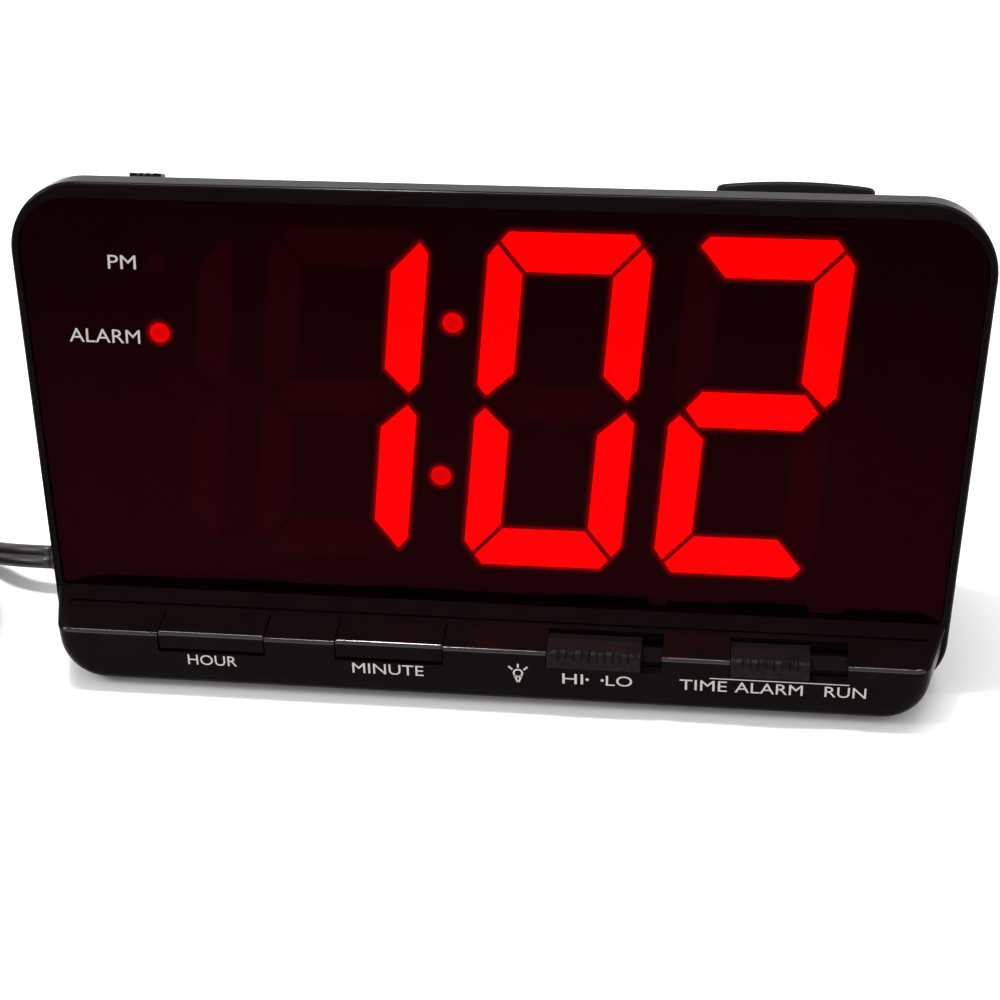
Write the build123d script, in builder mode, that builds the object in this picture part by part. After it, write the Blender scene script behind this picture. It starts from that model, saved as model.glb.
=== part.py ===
from build123d import *
from math import atan2, cos, degrees, hypot, pi, radians, sin, tan
import os

# Desk alarm clock with three-inch digits. The lens faces -Y, +Z is up, the origin is under the middle
# of the clock on the surface that it stands on. Sizes are in millimetres.

# Case
depth = 64.0
foot_gap = 1.0
lens_tilt = 10.0
lens_span = 94.5
half_at_lens_foot = 101.85
side_taper = 0.057
top_corner = 15.5
low_corner = 12.0
frame_depth = 8.0
wall = 2.2
lip_height = 14.3
ledge_depth = 16.0
ledge_rise = 1.4
lip_half_width = 96.5
lip_corner = 10.0
lip_edge_radius = 4.0
rim_edge_radius = 1.0
cover_step = 0.8
rear_top = 96.5
rear_half_low = 96.0
rear_half_top = 101.0
rear_low_corner = 8.0
rear_top_corner = 12.0

# Lens
side_rim = 1.9
top_rim = 3.5
lens_recess = 0.8
lens_thickness = 2.0
lens_seat = 2.5
lens_clearance = 0.15

# Digits
digit_room_above = 9.05
digit_room_below = 8.75
digit_width = 35.1
digit_slant = 0.082
bar_width = 7.7
bar_height = 8.7
bar_gap = 1.1
corner_cut_across = 4.2
corner_cut_up = 5.4
waist_inner = 6.8
waist_tip = 1.5
waist_tip_inset = 2.1
waist_tip_rise = 2.4
middle_bar_half = 11.1
middle_bar_tip = 14.2
middle_bar_height = 8.0
first_digit_x = -77.1
hours_x = -34.4
tens_x = 13.8
minutes_x = 56.5
colon_x = -10.3
colon_rise = 17.7
dot_size = 4.4
status_x = -74.5
alarm_dot_rise = 13.3
pm_dot_rise = 29.3

# Display module
housing_left = -80.0
housing_right = 80.0
housing_low = 4.5
housing_room_above = 8.1
housing_face = 3.3
housing_depth = 8.7
diffuser_thickness = 1.2
board_thickness = 1.6
board_half = 83.0
board_tab_half = 98.5
board_tab_height = 9.0
display_post_x = 95.3
display_post_low = 24.0
display_post_drop = 8.37

# Controls on the ledge
control_depth = 8.7
control_clearance = 0.2
key_width = 24.0
hour_x = -61.4
minute_x = -21.2
key_travel = 0.8
key_bottom = 11.5
key_proud = 0.3
key_skirt = 1.2
key_edge_radius = 0.35
dimmer_x = 24.2
dimmer_width = 20.6
dimmer_travel = 4.5
mode_x = 62.6
mode_width = 17.0
mode_travel = 8.0
knob_proud = 0.6
rib_pitch = 1.7
rib_cut = 0.5
groove_front = 8.95
groove_width = 2.1
groove_cut = 0.5

# Controls on the top
snooze_x = 64.0
snooze_along = 1.0
top_board_gap = 1.2
top_board_width = 10.0
top_post_radius = 2.3
snooze_length = 34.0
snooze_edge_room = 5.15
snooze_proud = 3.4
snooze_travel = 1.0
alarm_knob_x = -80.6
alarm_knob_length = 7.3
alarm_knob_width = 5.0
alarm_plate_rim = 1.0
alarm_knob_proud = 2.0
alarm_travel = 4.2

# Switches and boards
plate_thickness = 1.2
tact_size = 6.0
tact_height = 3.2
plunger_size = 3.5
plunger_height = 0.85
slide_switch_length = 12.0
slide_switch_width = 5.0
slide_switch_height = 3.4
lever_size = 2.2
key_board_left = -76.0
key_board_right = 79.5
key_board_front = 3.4
key_board_back = 18.0

# Screws
screw_size = 3.0
screw_head = 6.0
screw_head_height = 2.2
screw_length = 11.0
small_screw_size = 2.2
small_screw_head = 4.0
small_screw_length = 5.0
thread_clearance = 0.05
boss_radius = 3.6
tube_radius = 4.5
low_screw_x = 82.0
low_screw_z = 11.0
high_screw_x = 93.0
high_screw_z = 86.0
high_boss_reach = 44.0

# Feet
foot_size = 10.0
foot_sunk = 1.0
front_foot_x = 76.0
rear_foot_x = 80.0
front_foot_back = 10.0
rear_foot_back = 54.0

# Battery bay
battery_length = 48.5
battery_width = 26.5
battery_height = 17.5
bay_left = 6.0
snap_room = 7.5
snap_length = 25.0
snap_width = 12.0
bay_wall = 4.0
bay_slack = 0.4
door_plate = 0.9
door_flange = 0.8
door_overlap = 1.0
door_tongue = 1.2
door_gap = 0.15

# Mains parts
transformer_x = -56.0
core_length = 34.0
core_height = 28.0
core_depth = 13.0
core_window = 6.5
core_limb = 10.5
winding_depth = 24.0
main_board_half = 46.0
main_board_low = 28.0
main_board_high = 80.0
chip_x = 8.0
chip_below_top = 22.0
chip_length = 36.0
chip_height = 13.0
chip_thickness = 3.4
chip_stand_off = 0.7
pin_pitch = 2.54
pins_on_a_side = 14
buzzer_x = 66.0
buzzer_z = 52.0
buzzer_size = 22.0
buzzer_height = 7.0

# Mains lead
cord_size = 4.8
cord_exit_back = 40.0
cord_exit_z = 8.6
relief_face_x = -99.8
relief_tip_x = -110.4
relief_inner_x = -90.4
relief_flange = 10.0
relief_neck = 6.6
coil_x = -160.0
coil_outer = 40.0
coil_back = 52.0
coil_pitch = 5.3
coil_half_turns = 7
coil_rest = 0.6
tie_thickness = 0.4
tie_width = 5.0
plug_length = 25.0
plug_width = 20.0
plug_thickness = 10.0
blade_length = 17.5
blade_width = 6.3
blade_thickness = 1.5
blade_spacing = 12.7

# Places that follow from the sizes
lip_y = -depth / 2
rear_y = depth / 2
tilt_cos = cos(radians(lens_tilt))
tilt_sin = sin(radians(lens_tilt))
ledge_edge_z = foot_gap + lip_height
lens_foot_y = lip_y + ledge_depth
lens_foot_z = ledge_edge_z + ledge_rise
floor_top = foot_gap + wall
lens_seat_depth = lens_recess + lens_thickness
frame_step = lens_seat_depth + 1.7
housing_back = housing_face + housing_depth
board_back = housing_back + board_thickness
lens_normal = Axis((0, 0, 0), (0, -tilt_cos, tilt_sin))
digit_height = lens_span - digit_room_above - digit_room_below
digit_middle = digit_room_below + digit_height / 2
housing_high = lens_span - housing_room_above
bay_length = battery_length + snap_room


def lens_plane(back=0.0):
    """Plane of the lens front, or one that many millimetres behind it; its Y runs up the lens."""
    origin = (0, lens_foot_y + back * tilt_cos, lens_foot_z - back * tilt_sin)
    return Plane(origin=origin, x_dir=(1, 0, 0), z_dir=(0, -tilt_cos, tilt_sin))


def lens_y(up, back):
    return lens_foot_y + up * tilt_sin + back * tilt_cos


def lens_z(up, back):
    return lens_foot_z + up * tilt_cos - back * tilt_sin


def up_at_height(z, back):
    return (z - lens_foot_z + back * tilt_sin) / tilt_cos


def side(up):
    return half_at_lens_foot + side_taper * up


def ledge_z(y):
    return ledge_edge_z + (y - lip_y) * ledge_rise / ledge_depth


def upright(y):
    """Upright plane at that Y, seen from the front: its X is the clock's X, its Y is up."""
    return Plane.XZ.offset(-y)


def four_sided(low_half, low, high_half, high, low_radius, high_radius):
    """Closed outline with leaning sides and rounded corners, as wide as given at its foot and top."""
    Polygon((-low_half, low), (low_half, low), (high_half, high), (-high_half, high))
    fillet(vertices().group_by(Axis.Y)[0], low_radius)
    fillet(vertices().group_by(Axis.Y)[-1], high_radius)


def lip_section(half, low, high, radius):
    """Section of the lip, rounded at its two lower corners, leaning as the case sides do."""
    low_half = half - side_taper * (high - low)
    Polygon((-low_half, low), (low_half, low), (half, high), (-half, high))
    fillet(vertices().group_by(Axis.Y)[0], radius)


# Front bezel: the frame round the lens and the lip with the control ledge
frame_low = up_at_height(foot_gap, 0)
lip_back_y = lens_foot_y + 1.0
lip_back_half = side(0) - 0.65
hollow_back_y = lens_foot_y + 5.0
hollow_low = up_at_height(floor_top, frame_depth)
low_joint_y = lens_y(up_at_height(low_screw_z, frame_depth), frame_depth)
high_step_y = lens_y(up_at_height(high_screw_z, frame_step), frame_step)
high_frame_y = lens_y(up_at_height(high_screw_z, frame_depth), frame_depth)
high_joint_y = lip_y + high_boss_reach
key_slot_bottom = key_bottom - key_travel - 0.1
knob_slot_bottom = key_bottom - 0.1
control_back_y = lip_y + control_depth
dimmer_slot_middle = dimmer_x + dimmer_travel / 2
mode_slot_middle = mode_x + mode_travel / 2
dimmer_slot = dimmer_width + dimmer_travel + 2 * control_clearance
mode_slot = mode_width + mode_travel + 2 * control_clearance
key_slot = key_width + 2 * control_clearance
control_slots = [
    (hour_x, key_slot, key_slot_bottom),
    (minute_x, key_slot, key_slot_bottom),
    (dimmer_slot_middle, dimmer_slot, knob_slot_bottom),
    (mode_slot_middle, mode_slot, knob_slot_bottom),
]
display_post_ups = (display_post_low, up_at_height(high_screw_z, 0) - display_post_drop)
display_posts = [(x, up) for x in (-display_post_x, display_post_x) for up in display_post_ups]
key_post_xs = (
    key_board_left + 4,
    (hour_x + minute_x) / 2,
    (minute_x + dimmer_x) / 2 - 1,
    key_board_right - 3,
)
key_post_y = lip_y + key_board_back - 3
key_board_z = floor_top + 2.2

with BuildPart() as front_bezel:
    with BuildSketch(lens_plane()):
        four_sided(side(frame_low), frame_low, side(lens_span), lens_span, low_corner, top_corner)
    extrude(amount=-frame_depth)
    fillet(front_bezel.faces().sort_by(lens_normal)[-1].edges(), rim_edge_radius)
    fillet(front_bezel.faces().sort_by(lens_normal)[0].edges(), rim_edge_radius * 0.8)
    with BuildSketch(upright(lip_y)):
        lip_section(lip_half_width, foot_gap, ledge_edge_z, lip_corner)
    with BuildSketch(upright(lip_back_y)):
        lip_section(lip_back_half, foot_gap, ledge_z(lip_back_y), low_corner)
    loft(ruled=True)
    lip_face = front_bezel.faces().sort_by(Axis.Y)[0]
    fillet(lip_face.edges().sort_by(Axis.Z)[:-1], lip_edge_radius)
    lip_face = front_bezel.faces().sort_by(Axis.Y)[0]
    fillet(lip_face.edges().sort_by(Axis.Z)[-1], 0.7)
    split(bisect_by=Plane.XY.offset(foot_gap), keep=Keep.TOP)
    # Hollow of the frame, the lens seat and the window through it
    with BuildSketch(lens_plane(frame_step)):
        four_sided(
            side(hollow_low) - wall,
            hollow_low,
            side(lens_span) - wall,
            lens_span - wall,
            low_corner - wall,
            top_corner - wall,
        )
    extrude(amount=-frame_depth, mode=Mode.SUBTRACT)
    with BuildSketch(lens_plane()):
        rim_top = lens_span - top_rim
        four_sided(side(0) - side_rim, 0, side(lens_span) - side_rim, rim_top, 1.5, top_corner - top_rim)
    extrude(amount=-lens_seat_depth, mode=Mode.SUBTRACT)
    window_top = lens_span - top_rim - lens_seat
    window_inset = side_rim + lens_seat
    with BuildSketch(lens_plane()):
        window_half = side(lens_span) - window_inset
        four_sided(side(0) - window_inset, lens_seat, window_half, window_top, 2, top_corner - 6)
    extrude(amount=-frame_depth, mode=Mode.SUBTRACT)
    # Hollow of the lip, open to the back
    with BuildSketch(upright(lip_y + wall)):
        lip_section(lip_half_width - wall + 0.3, floor_top, ledge_z(lip_y + wall) - wall, lip_corner - wall)
    with BuildSketch(upright(hollow_back_y)):
        lip_section(side(0) - wall - 0.9, floor_top, ledge_z(hollow_back_y) - wall, low_corner - wall)
    loft(ruled=True, mode=Mode.SUBTRACT)
    # Slots of the keys and slide knobs, and the long groove behind them
    for slot_x, slot_length, slot_bottom in control_slots:
        slot_height = ledge_edge_z + 3 - slot_bottom
        with Locations((slot_x, lip_y + control_depth / 2 - 0.5, slot_bottom + slot_height / 2)):
            Box(slot_length, control_depth + 1, slot_height, mode=Mode.SUBTRACT)
    with BuildSketch(Plane.YZ):
        groove_y = lip_y + groove_front
        Polygon(
            (groove_y, ledge_z(groove_y) - groove_cut),
            (groove_y + groove_width, ledge_z(groove_y + groove_width) - groove_cut),
            (groove_y + groove_width, ledge_edge_z + 4),
            (groove_y, ledge_edge_z + 4),
        )
    extrude(amount=lip_half_width, both=True, mode=Mode.SUBTRACT)
    # Screw bosses for the rear cover, each on its rib
    for x in (-low_screw_x, low_screw_x):
        with BuildSketch(upright(lip_y + 13)):
            with Locations((x, low_screw_z)):
                Circle(boss_radius)
        extrude(amount=-(low_joint_y - lip_y - 13))
        rib_back_y = lens_y(up_at_height(foot_gap, frame_depth), frame_depth) - 0.3
        rib_height = low_screw_z - foot_gap - wall / 2
        with Locations((x, (lip_y + 13 + rib_back_y) / 2, foot_gap + wall / 2 + rib_height / 2)):
            Box(2, rib_back_y - lip_y - 13, rib_height)
        with BuildSketch(upright(low_joint_y)):
            with Locations((x, low_screw_z)):
                Circle(screw_size / 2 + thread_clearance)
        extrude(amount=9, mode=Mode.SUBTRACT)
    for x in (-high_screw_x, high_screw_x):
        with BuildSketch(upright(high_step_y + 0.2)):
            with Locations((x, high_screw_z)):
                Circle(boss_radius)
        extrude(amount=-(high_joint_y - high_step_y - 0.2))
        rib_length = side(high_screw_z) - wall / 2 - high_screw_x
        rib_x = (high_screw_x + rib_length / 2) * (1 if x > 0 else -1)
        with Locations((rib_x, (high_step_y + high_frame_y) / 2, high_screw_z)):
            Box(rib_length, high_frame_y - high_step_y - 1.0, 3)
        with BuildSketch(upright(high_joint_y)):
            with Locations((x, high_screw_z)):
                Circle(screw_size / 2 + thread_clearance)
        extrude(amount=9, mode=Mode.SUBTRACT)
    # Posts that carry the display board, each joined to the side wall
    for x, up in display_posts:
        with BuildSketch(lens_plane(housing_back)):
            with Locations((x, up)):
                Circle(3.2)
        extrude(amount=housing_back - frame_step)
        reach = side(up) - wall / 2 - display_post_x
        with BuildSketch(lens_plane(frame_depth - 0.2)):
            with Locations(((display_post_x + reach / 2) * (1 if x > 0 else -1), up)):
                Rectangle(reach, 3)
        extrude(amount=frame_depth - 0.2 - frame_step)
        with BuildSketch(lens_plane(housing_back)):
            with Locations((x, up)):
                Circle(small_screw_size / 2 + thread_clearance)
        extrude(amount=4, mode=Mode.SUBTRACT)
    # Posts that carry the key board
    for x in key_post_xs:
        with BuildSketch(Plane.XY.offset(key_board_z)):
            with Locations((x, key_post_y)):
                Circle(2.4)
        extrude(amount=-(key_board_z - foot_gap - wall / 2))
        with BuildSketch(Plane.XY.offset(key_board_z)):
            with Locations((x, key_post_y)):
                Circle(small_screw_size / 2 + thread_clearance)
        extrude(amount=-(key_board_z - foot_gap - 0.8), mode=Mode.SUBTRACT)
    # Seats of the two front feet
    with BuildSketch(Plane.XY.offset(foot_gap)):
        with Locations((-front_foot_x, lip_y + front_foot_back), (front_foot_x, lip_y + front_foot_back)):
            Circle(foot_size / 2 + 0.1)
    extrude(amount=foot_sunk, mode=Mode.SUBTRACT)

# Lens: the dark red filter sheet in its seat
with BuildPart() as display_lens:
    with BuildSketch(lens_plane(lens_recess)):
        four_sided(
            side(0) - side_rim - lens_clearance,
            lens_clearance,
            side(lens_span) - side_rim - lens_clearance,
            lens_span - top_rim - lens_clearance,
            1.5,
            top_corner - top_rim - lens_clearance,
        )
    extrude(amount=-lens_thickness)

# Rear cover: the tapered housing behind the frame
cover_high = lens_span - cover_step
cover_low = up_at_height(foot_gap, frame_depth)
top_front_y = lens_y(cover_high, frame_depth)
top_front_z = lens_z(cover_high, frame_depth)
slope_length = hypot(rear_y - top_front_y, top_front_z - rear_top)
slope_cos = (rear_y - top_front_y) / slope_length
slope_sin = (top_front_z - rear_top) / slope_length
inner_rear_y = rear_y - wall
inner_drop = wall / slope_cos
inner_rear_top = rear_top + wall * slope_sin / slope_cos - inner_drop


def slope_plane(above=0.0):
    """Plane of the cover's sloping top, or one that far above it; its Y runs down to the back."""
    middle_y = (top_front_y + rear_y) / 2 + above * slope_sin
    middle_z = (top_front_z + rear_top) / 2 + above * slope_cos
    return Plane(origin=(0, middle_y, middle_z), x_dir=(1, 0, 0), z_dir=(0, slope_sin, slope_cos))


bay_right = bay_left + bay_length
bay_back = inner_rear_y
bay_front = bay_back - battery_width - bay_slack
door_top = foot_gap + door_plate + door_flange
bay_low = door_top + door_gap
bay_high = bay_low + battery_height + bay_slack
bay_middle = (bay_left + bay_right) / 2
battery_y = (bay_front + bay_back) / 2
battery_z = bay_low + 0.1 + battery_height / 2
stud_x = bay_right - 0.5 - battery_length + 1.25
snooze_skirt_top = -wall - 0.5
snooze_skirt = 1.2
snooze_stem_low = snooze_skirt_top - snooze_skirt - 1.3
tact_low_top = snooze_stem_low - snooze_travel - 0.05 - plunger_height - tact_height
snooze_width = slope_length - 2 * snooze_edge_room
board_under = tact_low_top - plate_thickness
slope_middle = slope_plane(board_under).origin
board_behind = (slope_middle.Y - lens_foot_y) * tilt_cos - (slope_middle.Z - lens_foot_z) * tilt_sin
top_board_front = (board_back - board_behind) / (slope_cos * tilt_cos + slope_sin * tilt_sin) + top_board_gap
snooze_post_along = top_board_front + top_board_width / 2
tact_along = top_board_front + tact_size / 2 + 0.4
alarm_along = top_board_front + slide_switch_width / 2 + 0.4
alarm_post_along = alarm_along + alarm_knob_width / 2 + alarm_plate_rim + top_post_radius + 0.4
alarm_board_width = alarm_post_along + top_post_radius - top_board_front
snooze_post_xs = (snooze_x - 21.4, snooze_x + 21.2)
alarm_post_xs = (alarm_knob_x - 4.6, alarm_knob_x + 13.2)
main_board_y = inner_rear_y - 2.2
main_post_xs = (-main_board_half + 4, main_board_half - 4)
main_post_zs = (main_board_low + 4, main_board_high - 4)
relief_y = lip_y + cord_exit_back

with BuildPart() as rear_cover:
    with BuildSketch(lens_plane(frame_depth)):
        four_sided(
            side(cover_low) - cover_step,
            cover_low,
            side(cover_high) - cover_step,
            cover_high,
            low_corner,
            top_corner - cover_step,
        )
    with BuildSketch(upright(rear_y)):
        four_sided(rear_half_low, foot_gap, rear_half_top, rear_top, rear_low_corner, rear_top_corner)
    loft(ruled=True)
    inner_low = up_at_height(floor_top, frame_depth - 0.1)
    inner_high = cover_high - wall
    with BuildSketch(lens_plane(frame_depth - 0.1)):
        four_sided(
            side(inner_low) - cover_step - wall,
            inner_low,
            side(inner_high) - cover_step - wall,
            inner_high,
            low_corner - wall,
            top_corner - cover_step - wall,
        )
    with BuildSketch(upright(inner_rear_y)):
        four_sided(
            rear_half_low - wall,
            floor_top,
            rear_half_top - wall,
            inner_rear_top,
            rear_low_corner - wall,
            rear_top_corner - wall,
        )
    loft(ruled=True, mode=Mode.SUBTRACT)
    # Battery bay with its sliding-door track
    block_front = bay_front - 1.6
    with Locations((bay_middle, (block_front + rear_y - 0.5) / 2, (foot_gap + bay_high + 1.6) / 2)):
        Box(bay_length + 2 * bay_wall, rear_y - 0.5 - block_front, bay_high + 1.6 - foot_gap)
    with Locations((bay_middle, (bay_front + bay_back) / 2, (foot_gap + bay_high) / 2)):
        Box(bay_length, bay_back - bay_front, bay_high - foot_gap, mode=Mode.SUBTRACT)
    with Locations((stud_x - 6, battery_y, bay_high + 1)):
        Box(2.4, 7, 3, mode=Mode.SUBTRACT)
    track_front = bay_front - 0.6
    plate_half = bay_length / 2 + door_overlap
    tongue_half = plate_half + door_tongue
    with Locations((bay_middle, (track_front + rear_y + 1) / 2, foot_gap + door_plate / 2 - 0.5)):
        Box(2 * (plate_half + door_gap), rear_y + 1 - track_front, door_plate + 1, mode=Mode.SUBTRACT)
    with Locations((bay_middle, (track_front + rear_y + 1) / 2, (foot_gap + door_plate + bay_low) / 2)):
        Box(
            2 * (tongue_half + door_gap), rear_y + 1 - track_front, bay_low - foot_gap - door_plate,
            mode=Mode.SUBTRACT,
        )
    # Screw tubes with sunk heads
    for x, z, joint_y in (
        (-low_screw_x, low_screw_z, low_joint_y),
        (low_screw_x, low_screw_z, low_joint_y),
        (-high_screw_x, high_screw_z, high_joint_y),
        (high_screw_x, high_screw_z, high_joint_y),
    ):
        with BuildSketch(upright(joint_y)):
            with Locations((x, z)):
                Circle(tube_radius)
        extrude(amount=-(rear_y - 1 - joint_y))
        with BuildSketch(upright(joint_y)):
            with Locations((x, z)):
                Circle(screw_size / 2 + 0.2)
        extrude(amount=-depth, mode=Mode.SUBTRACT)
        with BuildSketch(upright(joint_y + 3)):
            with Locations((x, z)):
                Circle(screw_head / 2 + 0.4)
        extrude(amount=-depth, mode=Mode.SUBTRACT)
    # Openings in the sloping top for the snooze bar and the alarm knob, and the posts of their boards
    with BuildSketch(slope_plane()):
        with Locations((snooze_x, snooze_along)):
            RectangleRounded(snooze_length + 0.6, snooze_width + 0.6, 3.3)
        with Locations((alarm_knob_x + alarm_travel / 2, alarm_along)):
            RectangleRounded(alarm_knob_length + alarm_travel + 0.5, alarm_knob_width + 0.5, 1)
    extrude(amount=-wall - 1, mode=Mode.SUBTRACT)
    for x in (*snooze_post_xs, *alarm_post_xs):
        along = snooze_post_along if x > 0 else alarm_post_along
        with BuildSketch(slope_plane(tact_low_top)):
            with Locations((x, along)):
                Circle(top_post_radius)
        extrude(amount=-tact_low_top - wall / 2)
        with BuildSketch(slope_plane(tact_low_top)):
            with Locations((x, along)):
                Circle(small_screw_size / 2 + thread_clearance)
        extrude(amount=5, mode=Mode.SUBTRACT)
    # Posts of the main board, the buzzer ring and its sound holes, and the vents
    for x in main_post_xs:
        for z in main_post_zs:
            with BuildSketch(upright(main_board_y)):
                with Locations((x, z)):
                    Circle(2.8)
            extrude(amount=-(rear_y - 0.5 - main_board_y))
            with BuildSketch(upright(main_board_y)):
                with Locations((x, z)):
                    Circle(small_screw_size / 2 + thread_clearance)
            extrude(amount=-3.4, mode=Mode.SUBTRACT)
    with BuildSketch(upright(inner_rear_y + 0.5)):
        with Locations((buzzer_x, buzzer_z)):
            Circle(buzzer_size / 2 + 1.4)
            Circle(buzzer_size / 2 + 0.1, mode=Mode.SUBTRACT)
    extrude(amount=4.5)
    with BuildSketch(upright(inner_rear_y - 1)):
        with Locations((buzzer_x, buzzer_z)):
            Circle(1.1)
            with PolarLocations(6, 6):
                Circle(1.1)
        with Locations((0, main_board_high + 7)):
            with GridLocations(6.5, 1, 17, 1):
                RectangleRounded(2.4, 8, 1.1)
    extrude(amount=-wall - 2, mode=Mode.SUBTRACT)
    # Pad and bore for the mains lead
    with BuildSketch(Plane.YZ.offset(relief_face_x)):
        with Locations((relief_y, cord_exit_z)):
            Circle(6.4)
    extrude(amount=relief_inner_x - 2 - relief_face_x)
    with BuildSketch(Plane.YZ.offset(relief_face_x)):
        with Locations((relief_y, cord_exit_z)):
            Circle(relief_neck / 2 + 0.05)
    extrude(amount=20, mode=Mode.SUBTRACT)
    split(bisect_by=Plane.XY.offset(foot_gap), keep=Keep.TOP)
    # Seats of the two rear feet
    with BuildSketch(Plane.XY.offset(foot_gap)):
        with Locations((-rear_foot_x, lip_y + rear_foot_back), (rear_foot_x, lip_y + rear_foot_back)):
            Circle(foot_size / 2 + 0.1)
    extrude(amount=foot_sunk, mode=Mode.SUBTRACT)

# Battery door: slides out to the back
with BuildPart() as battery_door:
    door_front = track_front + 0.2
    door_length = rear_y - door_front
    door_y = (door_front + rear_y) / 2
    with Locations((bay_middle, door_y, foot_gap + door_plate / 2)):
        Box(2 * plate_half, door_length, door_plate)
    with Locations((bay_middle, door_y, foot_gap + door_plate + door_flange / 2)):
        Box(2 * tongue_half, door_length, door_flange)
    with Locations((bay_middle, rear_y - 6, foot_gap)):
        with GridLocations(1, 2.4, 1, 3):
            Box(16, 1.2, 0.8, mode=Mode.SUBTRACT)

# Rubber feet
with BuildPart() as rubber_feet:
    for x, back in ((front_foot_x, front_foot_back), (rear_foot_x, rear_foot_back)):
        with BuildSketch(Plane.XY):
            with Locations((-x, lip_y + back), (x, lip_y + back)):
                Circle(foot_size / 2)
        extrude(amount=foot_gap + foot_sunk)
    chamfer(rubber_feet.edges().filter_by(GeomType.CIRCLE).group_by(Axis.Z)[0], 0.3)

# Case screws, four in sunk tubes at the back
with BuildPart() as case_screws:
    for x, z, joint_y in (
        (-low_screw_x, low_screw_z, low_joint_y),
        (low_screw_x, low_screw_z, low_joint_y),
        (-high_screw_x, high_screw_z, high_joint_y),
        (high_screw_x, high_screw_z, high_joint_y),
    ):
        with BuildSketch(upright(joint_y + 3)):
            with Locations((x, z)):
                Circle(screw_head / 2)
        extrude(amount=-screw_head_height)
        with BuildSketch(upright(joint_y + 3)):
            with Locations((x, z)):
                Circle(screw_size / 2)
        extrude(amount=screw_length)
        with BuildSketch(upright(joint_y + 3 + screw_head_height)):
            with Locations((x, z)):
                Rectangle(3.2, 0.7)
                Rectangle(0.7, 3.2)
        extrude(amount=1.2, mode=Mode.SUBTRACT)


def key_cap(middle_x):
    """Key in the corner of the ledge: flush with the lip in front, with a skirt under the ledge."""
    front_y = lip_y + 0.1
    back_y = control_back_y - control_clearance
    skirt_front = lip_y + wall + 0.5
    skirt_back = back_y + key_skirt
    with BuildPart() as cap:
        with BuildSketch(Plane.YZ.offset(middle_x)):
            Polygon(
                (front_y, key_bottom),
                (back_y, key_bottom),
                (back_y, ledge_z(back_y) + key_proud),
                (front_y, ledge_z(front_y) + key_proud),
            )
            fillet(vertices().group_by(Axis.X)[0].sort_by(Axis.Y)[-1], 0.8)
        extrude(amount=key_width / 2, both=True)
        fillet(cap.faces().sort_by(Axis.Z)[-1].edges().sort_by(Axis.Y)[:-1], key_edge_radius)
        with Locations((middle_x, (skirt_front + skirt_back) / 2, key_bottom + key_skirt / 2)):
            Box(key_width + 2 * key_skirt, skirt_back - skirt_front, key_skirt)
    return cap


hour_button = key_cap(hour_x)
minute_button = key_cap(minute_x)


def slide_knob(middle_x, width, travel):
    """Ribbed bar that slides along the lip in its slot, with a skirt that keeps the slot shut."""
    front_y = lip_y - 0.3
    back_y = control_back_y - control_clearance - 1.0
    knob_low = key_bottom + 0.1
    skirt_front = lip_y + wall + 0.5
    skirt_back = control_back_y + 1.2
    with BuildPart() as knob:
        with BuildSketch(Plane.YZ.offset(middle_x)):
            Polygon(
                (front_y, knob_low),
                (back_y, knob_low),
                (back_y, ledge_z(back_y) - 0.4),
                (lip_y + 4.5, ledge_z(lip_y + 4.5) + knob_proud),
                (lip_y + 1.0, ledge_z(lip_y) + knob_proud),
                (front_y, ledge_z(lip_y) - 0.7),
            )
        extrude(amount=width / 2, both=True)
        with Locations((middle_x, lip_y + 0.1, ledge_edge_z + 0.3)):
            with GridLocations(rib_pitch, 1, int((width - 2) / rib_pitch), 1):
                Box(rib_cut, 1.6, 8, rotation=(-35, 0, 0), mode=Mode.SUBTRACT)
        with Locations((middle_x, (skirt_front + skirt_back) / 2, knob_low + 0.5)):
            Box(width + 2 * (travel + 1.0), skirt_back - skirt_front, 1.0)
        with Locations((middle_x, slide_switch_y, key_bottom + 0.7)):
            Box(lever_size + 0.2, lever_size + 0.2, 1.8, mode=Mode.SUBTRACT)
    return knob


slide_switch_y = lip_y + control_depth / 2 + 0.5
dimmer_knob = slide_knob(dimmer_x, dimmer_width, dimmer_travel)
mode_knob = slide_knob(mode_x, mode_width, mode_travel)

# Snooze bar: a crowned key on the sloping top
crown_radius = 140.0
with BuildPart() as snooze_button:
    with BuildSketch(slope_plane(snooze_skirt_top)):
        with Locations((snooze_x, snooze_along)):
            RectangleRounded(snooze_length, snooze_width, 3)
    extrude(amount=snooze_proud - snooze_skirt_top)
    crown_low = snooze_proud - crown_radius
    with BuildPart(mode=Mode.PRIVATE) as crown:
        with BuildSketch(slope_plane(crown_low).rotated((90, 0, 0))):
            with Locations((snooze_x, 0)):
                Circle(crown_radius)
        extrude(amount=40, both=True)
    add(crown.part, mode=Mode.INTERSECT)
    fillet(snooze_button.edges().group_by(Axis((0, 0, 0), (0, slope_sin, slope_cos)))[-1], 1.2)
    with BuildSketch(slope_plane(snooze_skirt_top)):
        with Locations((snooze_x, snooze_along)):
            RectangleRounded(snooze_length + 2.2, snooze_width + 2.2, 4)
    extrude(amount=-snooze_skirt)
    with BuildSketch(slope_plane(snooze_skirt_top - snooze_skirt)):
        with Locations((snooze_x, tact_along)):
            Circle(2)
    extrude(amount=-(snooze_skirt_top - snooze_skirt - snooze_stem_low))

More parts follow.
